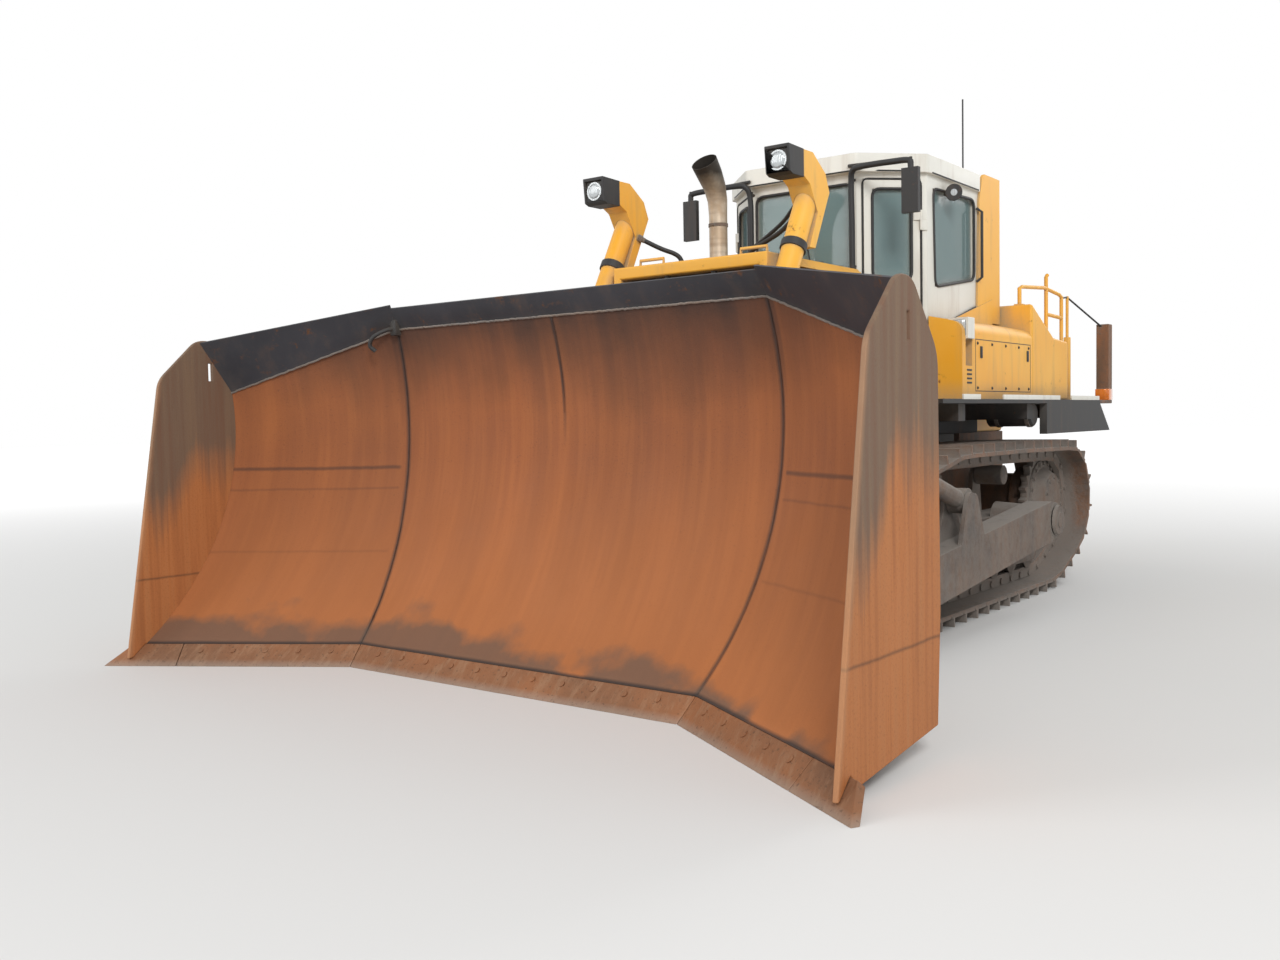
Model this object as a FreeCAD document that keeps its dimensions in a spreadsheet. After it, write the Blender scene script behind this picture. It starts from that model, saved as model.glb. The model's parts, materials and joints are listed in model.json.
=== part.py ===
# Crawler bulldozer with a winged bowl blade, millimetres.
# The machine faces -Y, its own left side is +X and +Z is up.
# Everything is drawn about the middle of the cutting edge, on the ground, and is
# placed along Y at the end so that the origin is under the middle of the machine.

import FreeCAD, Part
import math
import os
import re
from types import SimpleNamespace
from FreeCAD import Placement, Rotation, Vector

sizes = {
    # running gear, stations measured back from the cutting edge
    "track_gauge": 1900,
    "shoe_width": 610,
    "shoe_thickness": 25,
    "lug_height": 60,
    "lug_root": 26,
    "lug_tip": 16,
    "shoe_gap": 16,
    "link_pitch": 203,
    "pin_to_shoe_face": 65,
    "pin_to_rail": 50,
    "rail_gap": 110,
    "rail_width": 50,
    "idler_station": 2250,
    "idler_pin_radius": 375,
    "sprocket_station": 5520,
    "sprocket_height": 680,
    "sprocket_teeth": 23,
    "tooth_height": 15,
    "bush_radius": 31,
    "roller_radius": 105,
    "roller_flange": 20,
    "roller_count": 7,
    "first_roller": 2790,
    "last_roller": 4950,
    "carrier_radius": 85,
    "carrier_height": 930,
    "carrier_room": 10,
    "bend_behind_roller": 130,
    "front_carrier": 3230,
    "rear_carrier": 4460,
    "running_gap": 0.5,
    # track frames
    "frame_width": 300,
    "frame_bottom": 420,
    "frame_top": 640,
    "frame_front": 2660,
    "frame_rear": 5050,
    "guard_thickness": 16,
    "guard_bottom": 232,
    "yoke_thickness": 26,
    # blade
    "middle_half": 1165,
    "wing_angle": 31.3,
    "edge_angle": 45.5,
    "edge_height": 160,
    "edge_thickness": 28,
    "edge_foot": 60,
    "edge_joint": 4,
    "plate_thickness": 22,
    "bowl_radius": 1750,
    "bowl_top": 1985,
    "bowl_top_station": 575,
    "cheek_place": 2330,
    "cheek_thickness": 25,
    "cheek_top": 1940,
    "guard_top": 2105,
    "guard_top_station": 505,
    "guard_low_at_cheek": 1620,
    "spill_thickness": 12,
    "end_bit_start": 1060,
    "end_bit_reach": 1505,
    "end_bit_top": 1370,
    "slot_width": 24,
    "slot_length": 110,
    "slot_station": -80,
    "slot_height": 1745,
    "rib_thickness": 20,
    "rib_outer": 1080,
    "rib_inner": 230,
    # push arms and tilt cylinders
    "arm_beside_track": 165,
    "arm_width": 180,
    "arm_depth": 290,
    "ball_station": 880,
    "ball_height": 300,
    "trunnion_station": 4250,
    "trunnion_height": 620,
    "trunnion_radius": 55,
    "bush_radius_outside": 95,
    "bush_crown": 20,
    "bush_half": 60,
    "eye_clearance": 0.9,
    "eye_shift": 0.4,
    "eye_wall": 36,
    "ear_thickness": 30,
    "lift_eye_half": 34,
    "roll_room": 30,
    "side_clearance": 14,
    "pin_radius": 35,
    "tilt_foot_station": 2700,
    "tilt_foot_height": 860,
    "tilt_head_station": 930,
    "tilt_head_height": 1380,
    "tilt_barrel_radius": 56,
    "tilt_rod_radius": 32,
    # lift cylinders
    "lift_centre": 700,
    "lug_station": 1000,
    "lug_height_above_ground": 720,
    "yoke_station": 1724,
    "yoke_height": 2050,
    "barrel_radius": 70,
    "stub_radius": 34,
    "bore_room": 2,
    "rod_radius": 36,
    "barrel_below": 450,
    "barrel_above": 860,
    "rod_length": 1560,
    # main frame and engine bay
    "body_half": 420,
    "belly_height": 520,
    "body_front": 1850,
    "body_rear": 6150,
    "body_top": 1080,
    "rail_wall": 60,
    "guard_half": 590,
    "guard_front": 1800,
    "guard_rear": 2150,
    "hood_half": 520,
    "hood_top": 2430,
    "hood_rear": 3260,
    "sheet": 8,
    # decks, pods and tank
    "deck_height": 1500,
    "deck_front": 2950,
    "deck_rear": 6390,
    "deck_inner": 620,
    "deck_outer": 1210,
    "deck_plate": 30,
    "skirt_bottom": 1230,
    "pod_inner": 820,
    "pod_outer": 1070,
    "pod_front": 3620,
    "pod_rear": 5050,
    "pod_top": 2040,
    "headlamp_width": 150,
    "headlamp_length": 120,
    "headlamp_height": 150,
    "headlamp_back": 60,
    "rail_rise": 180,
    "rail_thickness": 30,
    "post_thickness": 38,
    "drum_radius": 95,
    "drum_station": 4860,
    "tank_rear": 6200,
    "tank_top": 2270,
    # cab
    "cab_floor": 1530,
    "cab_front": 3290,
    "cab_corner": 3650,
    "cab_rear": 4850,
    "cab_nose_half": 430,
    "cab_half": 800,
    "cab_wall": 50,
    "roof_bottom": 3110,
    "roof_top": 3240,
    "sill_height": 2380,
    "door_gap": 8,
    "glass": 6,
    "post_width": 130,
    "door_thickness": 45,
    "door_margin": 45,
    "knuckle_radius": 12,
    "knuckle_length": 70,
    "hinge_out": 14,
    "hood_hinge_out": 10,
    "hood_hinge_station": 3025,
    "fender_front_height": 1990,
    "fender_rear_height": 2300,
    "pillar_reach": 300,
    "fender_setback": 80,
    "roof_lamp_radius": 60,
    "roof_lamp_station": 3960,
    "roof_lamp_height": 3010,
    # rear end
    "rear_reach": 6750,
    "drawbar_height": 760,
    "drawbar_bore": 26,
    "drawbar_station": 6360,
    "bolt_across": 640,
    "bolt_low": 740,
    "bolt_up": 420,
    "bolt_hole_radius": 14,
    "bolt_hole_depth": 60,
}
d = SimpleNamespace(**sizes)
d.arm_centre = (d.track_gauge + d.shoe_width) / 2 + d.arm_beside_track
arm_middle = "((track_gauge + shoe_width) / 2 + arm_beside_track)"

doc = FreeCAD.newDocument("bulldozer")
sheet = doc.addObject("Spreadsheet::Sheet", "sizes")
for row, (word, value) in enumerate(sizes.items(), start=1):
    sheet.set(f"A{row}", word)
    sheet.set(f"B{row}", str(value))
    sheet.setAlias(f"B{row}", word)
doc.recompute()

# Ways of drawing
size_word = re.compile(r"[a-z_]+")
planes = {
    "yz": (Rotation(0.5, 0.5, 0.5, 0.5), Vector(1, 0, 0), "x"),
    "xz": (Rotation(Vector(1, 0, 0), 90), Vector(0, 1, 0), "y"),
    "xy": (Rotation(), Vector(0, 0, 1), "z"),
}
nodes = []


def bind(item, path, formula):
    def cell(match):
        word = match.group()
        return f"sizes.{word}" if word in sizes else word
    item.setExpression(path, size_word.sub(cell, str(formula)))


def block(name, across, along, up):
    """box between pairs of formulas on x, y and z"""
    item = doc.addObject("Part::Box", name)
    for side, axis, (low, high) in zip(("Length", "Width", "Height"), "xyz", (across, along, up)):
        bind(item, side, f"({high}) - ({low})")
        bind(item, f"Placement.Base.{axis}", low)
    return item


def rod(name, radius, start, end):
    """round bar between two points, its radius a formula"""
    item = doc.addObject("Part::Cylinder", name)
    first, last = Vector(*start), Vector(*end)
    bind(item, "Radius", radius)
    item.Height = (last - first).Length
    item.Placement = Placement(first, Rotation(Vector(0, 0, 1), last - first))
    return item


def prism(name, sides, radius, start, end):
    """bar with flat sides between two points"""
    item = doc.addObject("Part::Prism", name)
    first, last = Vector(*start), Vector(*end)
    item.Polygon = sides
    bind(item, "Circumradius", radius)
    item.Height = (last - first).Length
    item.Placement = Placement(first, Rotation(Vector(0, 0, 1), last - first))
    return item


def faceted(name, sides, centre, sections):
    """wheel about a line along x, its rims flat sided; sections are (distance along x, radius)"""
    rims = []
    for along, radius in sections:
        angles = [2 * math.pi * (index + 0.5) / sides for index in range(sides)]
        rims.append([Vector(*centre) + Vector(along, radius * math.cos(a),
                                              radius * math.sin(a)) for a in angles])
    faces = [Part.Face(Part.makePolygon([*rim, rim[0]])) for rim in (rims[0], rims[-1])]
    for here, there in zip(rims, rims[1:]):
        for index in range(sides):
            corners = [here[index - 1], here[index], there[index], there[index - 1]]
            faces.append(Part.Face(Part.makePolygon([*corners, corners[0]])))
    return solid(name, Part.Solid(Part.Shell(faces)))


def outline(points):
    """closed run of straight sides through (u, v) corners, or (u, v, radius) where one is rounded"""
    corners = []
    for index, point in enumerate(points):
        here = Vector(point[0], point[1])
        if len(point) == 2:
            corners.append((here, None, here))
            continue
        back = (Vector(*points[index - 1][:2]) - here).normalize()
        onward = (Vector(*points[(index + 1) % len(points)][:2]) - here).normalize()
        half = back.getAngle(onward) / 2
        reach = point[2] / math.tan(half)
        centre = here + (back + onward).normalize() * (point[2] / math.sin(half))
        middle = centre + (here - centre).normalize() * point[2]
        corners.append((here + back * reach, middle, here + onward * reach))
    edges = []
    for index, (start, middle, end) in enumerate(corners):
        if middle is not None:
            edges.append(Part.Arc(start, middle, end))
        following = corners[(index + 1) % len(corners)][0]
        if (following - end).Length > 0.001:
            edges.append(Part.LineSegment(end, following))
    return edges


def circle(u, v, radius):
    return [Part.Circle(Vector(u, v), Vector(0, 0, 1), radius)]


def sketch(name, plane, runs):
    item = doc.addObject("Sketcher::SketchObject", name)
    item.Placement = Placement(Vector(), planes[plane][0])
    item.addGeometry([edge for run in runs for edge in run], False)
    return item


def extrude(name, plane, low, high, *runs):
    """solid between two formulas across the plane; runs after the first are holes"""
    profile = sketch(f"{name}_profile", plane, runs)
    item = doc.addObject("Part::Extrusion", name)
    item.Base = profile
    item.DirMode = "Custom"
    item.Dir = planes[plane][1]
    item.Solid = True
    item.FaceMakerClass = "Part::FaceMakerBullseye"
    bind(item, "LengthFwd", f"({high}) - ({low})")
    bind(profile, f"Placement.Base.{planes[plane][2]}", low)
    return item


def turned(name, centre, points):
    """solid of revolution about a line along x; points are (distance along x, radius)"""
    profile = sketch(f"{name}_profile", "xy", [outline(points)])
    item = doc.addObject("Part::Revolution", name)
    item.Source = profile
    item.Axis = Vector(1, 0, 0)
    item.Angle = 360
    item.Solid = True
    item.FaceMakerClass = "Part::FaceMakerBullseye"
    item.Placement = Placement(Vector(*centre), Rotation())
    return item


def solid(name, shape):
    item = doc.addObject("Part::Feature", name)
    item.Shape = shape
    return item


def joined(name, *items):
    if len(items) == 1:
        return items[0]
    fuse = doc.addObject("Part::MultiFuse", name)
    fuse.Shapes = list(items)
    return fuse


def cut(name, base, *tools):
    item = doc.addObject("Part::Cut", name)
    item.Base = base
    item.Tool = joined(f"{name}_tools", *tools)
    return item


def mirrored(name, source):
    item = doc.addObject("Part::Mirroring", name)
    item.Source = source
    item.Normal = Vector(1, 0, 0)
    return item


def node(label, *items):
    """one named piece of the machine, moved back so that its origin is mid length"""
    item = doc.addObject("Part::Compound", f"{label}_node")
    item.Links = list(items)
    item.Label = label
    item.Placement = Placement(Vector(0, -middle_station, 0), Rotation())
    nodes.append(item)
    return item


def both(label, *items):
    """like pieces on both sides of the machine, sharing one node"""
    return node(label, *items, *[mirrored(f"{item.Name}_mirrored", item) for item in items])


def pair(label, *items):
    """the piece on the machine's left and its mirror image on the right"""
    node(f"left_{label}", *items)
    node(f"right_{label}", *[mirrored(f"{item.Name}_mirrored", item) for item in items])


def hinge_half(name, spot, side, leaf_way, out):
    """upper (side 1) or lower (side -1) knuckle of an upright hinge; its leaf lies on the face behind it"""
    up = Vector(0, 0, 1)
    gap = d.running_gap / 2
    base = spot + up * (gap if side > 0 else -gap - d.knuckle_length)
    knuckle = prism(f"{name}_knuckle", 8, "knuckle_radius - 2", base, base + up * d.knuckle_length)
    outward = up.cross(leaf_way) if up.cross(leaf_way).x > 0 else leaf_way.cross(up)
    inner_edge = base - outward * out + leaf_way * (d.knuckle_radius - 4)
    corners = [inner_edge, inner_edge + leaf_way * 44, inner_edge + leaf_way * 44 + outward * 6,
               inner_edge + outward * (out + 4)]
    leaf_face = Part.Face(Part.makePolygon([*corners, corners[0]]))
    return [knuckle, solid(f"{name}_leaf", leaf_face.extrude(up * d.knuckle_length))]


# Where things are, worked out from the sizes
wing_turn = math.radians(d.wing_angle)
wing_way = Vector(math.cos(wing_turn), -math.sin(wing_turn), 0)
wing_back = Vector(math.sin(wing_turn), math.cos(wing_turn), 0)
mitre = math.tan(wing_turn / 2)
front_reach = d.end_bit_reach * math.sin(wing_turn)
middle_station = (d.rear_reach - front_reach) / 2
pin_height = d.lug_height + d.pin_to_shoe_face
idler_height = pin_height + d.idler_pin_radius
sprocket_pin_radius = d.link_pitch * d.sprocket_teeth / (4 * math.pi)
roller_height = pin_height + d.pin_to_rail + d.roller_radius
track_half = d.track_gauge / 2
roller_stations = [
    d.first_roller + (d.last_roller - d.first_roller) * index / (d.roller_count - 1)
    for index in range(int(d.roller_count))
]
lift_way = Vector(0, d.yoke_station - d.lug_station, d.yoke_height - d.lug_height_above_ground).normalize()
tilt_way = Vector(0, d.tilt_head_station - d.tilt_foot_station,
                  d.tilt_head_height - d.tilt_foot_height).normalize()

# The track: a belt drawn round its wheels
wheels = [
    (d.idler_station, idler_height, d.idler_pin_radius),
    (d.last_roller + d.bend_behind_roller, roller_height, d.roller_radius + d.pin_to_rail),
    (d.sprocket_station, d.sprocket_height, sprocket_pin_radius),
    (d.rear_carrier, d.carrier_height, d.carrier_radius + d.pin_to_rail),
    (d.front_carrier, d.carrier_height, d.carrier_radius + d.pin_to_rail),
]


def tangents():
    """outward direction of the straight run from each wheel to the next"""
    found = []
    for index, (u, v, radius) in enumerate(wheels):
        next_u, next_v, next_radius = wheels[(index + 1) % len(wheels)]
        span = Vector(next_u - u, next_v - v)
        lean = math.asin((radius - next_radius) / span.Length)
        along = math.atan2(span.y, span.x)
        found.append(along - math.pi / 2 + lean)
    return found


def belt(offset):
    """closed run of arcs and tangents at a distance outside the pins' line"""
    outward = tangents()
    spots = []
    for index, (u, v, radius) in enumerate(wheels):
        enter, leave = outward[index - 1], outward[index]
        while leave < enter:
            leave += 2 * math.pi
        reach = radius + offset
        spots.append([Vector(u + reach * math.cos(a), v + reach * math.sin(a))
                      for a in (enter, (enter + leave) / 2, leave)])
    edges = []
    for index, (enter, middle, leave) in enumerate(spots):
        edges.append(Part.Arc(enter, middle, leave))
        edges.append(Part.LineSegment(leave, spots[(index + 1) % len(spots)][0]))
    return edges


def pin_spots():
    """the link pins, spaced evenly round the belt"""
    wire = Part.Wire([edge.toShape() for edge in belt(0)])
    count = round(wire.Length / d.link_pitch)
    return [Vector(*spot) for spot in wire.discretize(Number=count + 1)[:-1]]


def link_run(offset):
    """straight links from pin to pin, at a distance outside the pins' line"""
    pins = pin_spots()
    run = []
    for index, pin in enumerate(pins):
        onward = (pins[(index + 1) % len(pins)] - pin).normalize()
        before = (pin - pins[index - 1]).normalize()
        outward = Vector(onward.y + before.y, -onward.x - before.x).normalize()
        spot = pin + outward * (offset / math.cos(onward.getAngle(before) / 2))
        run.append((spot.x, spot.y))
    return outline(run)


def shoe_run():
    """outer line of the shoes, each a flat plate with one lug near its front end"""
    pins = pin_spots()
    run = []
    lug_start = d.shoe_gap * 2
    lug_slope = (d.lug_root - d.lug_tip) / 2
    for index, pin in enumerate(pins):
        span = pins[(index + 1) % len(pins)] - pin
        along = Vector(span).normalize()
        outward = Vector(along.y, -along.x)
        for reach, rise in (
            (0, d.pin_to_shoe_face - d.shoe_thickness + 5),
            (d.shoe_gap / 2, d.pin_to_shoe_face),
            (lug_start, d.pin_to_shoe_face),
            (lug_start + lug_slope, d.pin_to_shoe_face + d.lug_height),
            (lug_start + lug_slope + d.lug_tip, d.pin_to_shoe_face + d.lug_height),
            (lug_start + d.lug_root, d.pin_to_shoe_face),
            (span.Length - d.shoe_gap / 2, d.pin_to_shoe_face),
        ):
            spot = pin + along * reach + outward * rise
            run.append((spot.x, spot.y))
    return outline(run)


shoe_inside = d.pin_to_shoe_face - d.shoe_thickness - 5
link_gap = 0.3
shoes = extrude("shoes", "yz", "(track_gauge - shoe_width) / 2", "(track_gauge + shoe_width) / 2",
                shoe_run(), link_run(shoe_inside))
link_rings = [link_run(shoe_inside - link_gap), link_run(-d.pin_to_rail)]
outer_links = extrude("outer_links", "yz", "(track_gauge + rail_gap) / 2",
                      "(track_gauge + rail_gap) / 2 + rail_width", *link_rings)
inner_links = extrude("inner_links", "yz", "(track_gauge - rail_gap) / 2 - rail_width",
                      "(track_gauge - rail_gap) / 2", *link_rings)
pair("track", shoes, outer_links, inner_links)


# Sprocket with its final drive
def sprocket_run():
    """half pitch teeth with flat tips and flat bush seats"""
    step = 2 * math.pi / d.sprocket_teeth
    tip_radius = sprocket_pin_radius + d.tooth_height
    root_radius = sprocket_pin_radius - d.bush_radius
    run = []
    for index in range(int(d.sprocket_teeth)):
        for share, radius in ((-0.41, tip_radius), (-0.2, root_radius), (0.2, root_radius),
                              (0.41, tip_radius)):
            angle = (index + share) * step
            run.append((d.sprocket_station + radius * math.cos(angle),
                        d.sprocket_height + radius * math.sin(angle)))
    return outline(run)


ring_half = 28
drive_spot = (track_half, d.sprocket_station, d.sprocket_height)
sprocket_ring = extrude("sprocket_ring", "yz", f"track_gauge / 2 - {ring_half}",
                        f"track_gauge / 2 + {ring_half}",
                        sprocket_run())
drive_cover = faceted("drive_cover", 18, drive_spot,
                      [(ring_half, 322), (42, 322), (50, 264), (128, 210), (150, 90)])
drive_case = faceted("drive_case", 18, drive_spot, [
    (d.body_half - track_half, 210), (-170, 210), (-150, 265), (-ring_half, 265)])
both("sprockets", joined("sprocket_and_cover", sprocket_ring, drive_cover))

# Idler, rollers and carriers, each filling the room between its side plates
rail_reach = d.rail_gap / 2 + d.rail_width
plate_inside = d.frame_width / 2 - d.yoke_thickness - link_gap
guard_inside = d.frame_width / 2 - d.guard_thickness - link_gap
link_middle = math.sqrt(d.idler_pin_radius ** 2 - (d.link_pitch / 2) ** 2)
idler_rim = link_middle - d.pin_to_rail - d.running_gap
idler_spot = (track_half, d.idler_station, idler_height)
idler_recess = idler_rim - 50
idler_wheel = faceted("idler_wheel", 20, idler_spot,
                      [(-rail_reach + 4, idler_rim), (rail_reach - 4, idler_rim)])
recesses = [faceted(f"idler_recess_{side}", 20, idler_spot,
                    [(side * 30, idler_recess - 8), (side * 140, idler_recess)])
            for side in (-1, 1)]
idler_hub = faceted("idler_hub", 10, idler_spot,
                    [(-plate_inside, 58), (-34, 104), (34, 104), (plate_inside, 58)])
both("idlers", joined("idler", cut("idler_dished", idler_wheel, *recesses), idler_hub))


def roller(name, station, height, radius, end_radius):
    """flanged wheel with its end collars"""
    tread = radius - d.running_gap
    flange = radius + d.roller_flange
    half = [(rail_reach + 1, tread), (rail_reach + 10, flange), (guard_inside, end_radius)]
    sections = [(-along, rim) for along, rim in reversed(half)] + half
    return faceted(name, 8, (track_half, station, height), sections)


both("rollers", *[roller(f"roller_{index + 1}", station, roller_height, d.roller_radius, 60)
                  for index, station in enumerate(roller_stations)])
carrier_rim = d.carrier_radius - d.carrier_room
both("carriers", *[faceted(f"{label}_carrier", 12, (track_half, station, d.carrier_height), [
    (-112 + link_gap, carrier_rim - 20), (-rail_reach, carrier_rim), (rail_reach, carrier_rim),
    (112, carrier_rim - 20)])
    for label, station in (("front", d.front_carrier), ("rear", d.rear_carrier))])

# Track frames with their yokes and push arm trunnions
frame_box = extrude("frame_box", "yz", "(track_gauge - frame_width) / 2", "(track_gauge + frame_width) / 2",
                    outline([(d.frame_front, d.frame_bottom), (d.frame_rear, d.frame_bottom),
                             (d.frame_rear, d.frame_top - 110), (d.frame_rear - 190, d.frame_top),
                             (d.frame_front + 160, d.frame_top), (d.frame_front, d.frame_top - 80)]))
frame_items = [frame_box]
guard_run = outline([
    (d.first_roller - 120, d.guard_bottom + 60), (d.first_roller - 60, d.guard_bottom),
    (d.last_roller + 60, d.guard_bottom), (d.last_roller + 100, d.guard_bottom + 60),
    (d.last_roller + 100, d.frame_bottom + 40), (d.first_roller - 120, d.frame_bottom + 40),
])
for side, low in (("outer", "(track_gauge + frame_width) / 2 - guard_thickness"),
                  ("inner", "(track_gauge - frame_width) / 2")):
    frame_items.append(extrude(f"{side}_roller_guard", "yz", low, f"{low} + guard_thickness", guard_run))
    yoke_low = low if side == "inner" else "(track_gauge + frame_width) / 2 - yoke_thickness"
    frame_items.append(extrude(f"{side}_idler_yoke", "yz", yoke_low, f"{yoke_low} + yoke_thickness",
                               outline([
        (d.idler_station - 40, idler_height - 80), (d.frame_front + 40, idler_height - 80),
        (d.frame_front + 40, idler_height + 80), (d.idler_station - 40, idler_height + 80),
        (d.idler_station - 100, idler_height + 35), (d.idler_station - 100, idler_height - 35),
    ])))
for label, station in (("front", d.front_carrier), ("rear", d.rear_carrier)):
    frame_items.append(extrude(f"{label}_carrier_post", "yz", "track_gauge / 2 - 148",
                               "track_gauge / 2 - 112",
                               outline([(station - 110, d.frame_top - 10),
                                        (station + 110, d.frame_top - 10),
                                        (station + 60, d.carrier_height + 20),
                                        (station + 30, d.carrier_height + 50),
                                        (station - 30, d.carrier_height + 50),
                                        (station - 60, d.carrier_height + 20)])))
boss_spot = (d.arm_centre, d.trunnion_station, d.trunnion_height)
boss_inside = d.arm_width / 2 + 12
frame_items += [
    rod("trunnion_shaft", "trunnion_radius", (track_half + 120, *boss_spot[1:]),
        (d.arm_centre + boss_inside + 30, *boss_spot[1:])),
    faceted("trunnion_base", 14, boss_spot, [(track_half + 120 - d.arm_centre, 124), (-boss_inside, 108)]),
    faceted("trunnion_collar", 14, boss_spot, [(boss_inside, 112), (boss_inside + 22, 106)])]
both("track_frames", joined("track_frame_parts", *frame_items))

# Main frame, belly and rear case
side_rail = block("side_rail", ("body_half - rail_wall", "body_half"), ("body_front", "body_rear - 1000"),
                  ("belly_height + 25", "body_top"))
other_rail = mirrored("other_rail", side_rail)
front_member = block("front_member", ("-body_half", "body_half"), ("body_front", "body_front + 120"),
                     ("belly_height + 80", "body_top"))
equalizer = block("equalizer", ("-track_gauge / 2 + frame_width / 2", "track_gauge / 2 - frame_width / 2"),
                  ("2880", "3040"), ("belly_height + 25", "frame_top"))
pivot_shaft = prism("pivot_shaft", 12, 85,
                    (-track_half + d.frame_width / 2, d.trunnion_station, d.trunnion_height),
                  (track_half - d.frame_width / 2, d.trunnion_station, d.trunnion_height))
belly = extrude("belly", "yz", "-body_half", "body_half", outline([
    (d.body_front, d.belly_height + 140), (d.body_front + 180, d.belly_height),
    (d.body_rear - 1000, d.belly_height), (d.body_rear - 1000, d.belly_height + 25),
    (d.body_front + 190, d.belly_height + 25), (d.body_front + 24, d.belly_height + 155),
]))
node("main_frame", joined("main_frame_parts", side_rail, other_rail, front_member, equalizer, pivot_shaft,
                          belly))
case = extrude("case", "yz", "-body_half", "body_half", outline([
    (d.body_rear - 1000, d.belly_height), (d.body_rear - 140, d.belly_height, 40),
    (d.body_rear, d.belly_height + 130), (d.body_rear, 1240), (d.body_rear - 1000, 1240),
]))
case_parts = joined("case_and_drives", case, drive_case, mirrored("drive_case_mirrored", drive_case))
bolt_holes = [rod(f"bolt_hole_{index}", "bolt_hole_radius", (x, d.body_rear - d.bolt_hole_depth, z),
                  (x, d.body_rear + 10, z))
              for index, (x, z) in enumerate(((-d.bolt_across / 2, d.bolt_low),
                                              (d.bolt_across / 2, d.bolt_low),
                                              (d.bolt_across / 2, d.bolt_low + d.bolt_up),
                                              (-d.bolt_across / 2, d.bolt_low + d.bolt_up)))]
node("rear_case", cut("rear_case_drilled", case_parts, *bolt_holes))
drawbar = extrude("drawbar_plates", "xy", "drawbar_height - 90", "drawbar_height + 90", outline([
    (-150, d.body_rear), (150, d.body_rear), (110, d.drawbar_station + 40), (60, d.drawbar_station + 95),
    (-60, d.drawbar_station + 95), (-110, d.drawbar_station + 40),
]))
drawbar_slot = block("drawbar_slot", ("-160", "160"), ("body_rear + 70", "drawbar_station + 200"),
                     ("drawbar_height - 45", "drawbar_height + 45"))
drawbar_hole = rod("drawbar_hole", "drawbar_bore", (0, d.drawbar_station, d.drawbar_height - 120),
                   (0, d.drawbar_station, d.drawbar_height + 120))
node("drawbar", cut("drawbar_clevis", drawbar, drawbar_slot, drawbar_hole))

# Engine, radiator and hood
engine_block = block("engine_block", ("-290", "290"), ("2420", "3240"), ("720", "1480"))
engine_head = block("engine_head", ("-170", "170"), ("2480", "3200"), ("1480", "1800"))
engine_feet = [block(f"engine_foot_{index}", ("-body_half + rail_wall", "body_half - rail_wall"),
                     (f"{station}", f"{station} + 110"), ("body_top - 200", "body_top - 120"))
               for index, station in enumerate((2520, 3080))]
node("engine", joined("engine_parts", engine_block, engine_head, *engine_feet))
radiator_frame = cut("radiator_frame",
                     block("radiator_case", ("-guard_half", "guard_half"), ("guard_front", "guard_rear"),
                           ("body_top", "hood_top - 30")),
                     block("radiator_room", ("-guard_half + 60", "guard_half - 60"),
                           ("guard_front - 10", "guard_rear + 10"), ("body_top + 60", "hood_top - 110")))
core = block("core", ("-guard_half + 60", "guard_half - 60"), ("guard_rear - 190", "guard_rear - 40"),
             ("body_top + 60", "hood_top - 110"))
node("radiator_guard", joined("radiator_parts", radiator_frame, core))
bars = [block(f"bar_{index}", ("-guard_half + 60", "guard_half - 60"),
              ("guard_front + 30", "guard_front + 60"),
              (f"body_top + 100 + {index} * 130", f"body_top + 130 + {index} * 130")) for index in range(9)]
uprights = [block(f"grille_upright_{index}", (f"{place} - 15", f"{place} + 15"),
                  ("guard_front + 30", "guard_front + 60"),
                  ("body_top + 60", "hood_top - 110")) for index, place in enumerate((-180, 180))]
node("grille", joined("grille_bars", *bars, *uprights))
hood_top_plate = extrude("hood_top_plate", "xz", "guard_rear", "hood_rear", outline([
    (-d.hood_half, d.hood_top - 70), (-d.hood_half + 70, d.hood_top), (d.hood_half - 70, d.hood_top),
    (d.hood_half, d.hood_top - 70), (d.hood_half - d.sheet, d.hood_top - 70),
    (d.hood_half - 70 - d.sheet / 2, d.hood_top - d.sheet),
    (-d.hood_half + 70 + d.sheet / 2, d.hood_top - d.sheet),
    (-d.hood_half + d.sheet, d.hood_top - 70),
]))
pipe_place = (-250, 2550)
pipe_base = rod("pipe_base", 62, (*pipe_place, d.hood_top), (*pipe_place, 2900))
pipe_mouth = rod("pipe_mouth", 74, (*pipe_place, 2880), (pipe_place[0], pipe_place[1] - 190, 3170))
node("exhaust", joined("exhaust_parts", pipe_base, pipe_mouth))
hood_door_panel = block("hood_door_panel", ("hood_half - sheet", "hood_half"),
                        ("guard_rear + 10", "hood_hinge_station - 5"),
                        ("deck_height + 20", "hood_top - 130"))
hood_hinge = Vector(d.hood_half + d.hood_hinge_out, d.hood_hinge_station, 0)
hood_hinge_heights = (d.deck_height + 150, d.hood_top - 360)
door_knuckles, shield_knuckles = [], []
for index, height in enumerate(hood_hinge_heights):
    spot = hood_hinge + Vector(0, 0, height)
    door_knuckles += hinge_half(f"hood_door_hinge_{index}", spot, 1, Vector(0, -1, 0), d.hood_hinge_out)
    shield_knuckles += hinge_half(f"hood_shield_hinge_{index}", spot, -1, Vector(0, 1, 0), d.hood_hinge_out)
pair("hood_door", joined("hood_door_parts", hood_door_panel, *door_knuckles))
side_shield = block("side_shield", ("hood_half - sheet", "hood_half"), ("guard_rear", "hood_rear"),
                    ("body_top", "deck_height + 10"))
rear_shield = block("rear_shield", ("hood_half - sheet", "hood_half"), ("3030", "hood_rear"),
                    ("deck_height + 10", "hood_top - 72"))
shields = joined("shields", side_shield, rear_shield, *shield_knuckles)
node("hood", joined("hood_parts", hood_top_plate, shields, mirrored("shields_mirrored", shields)))

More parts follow.
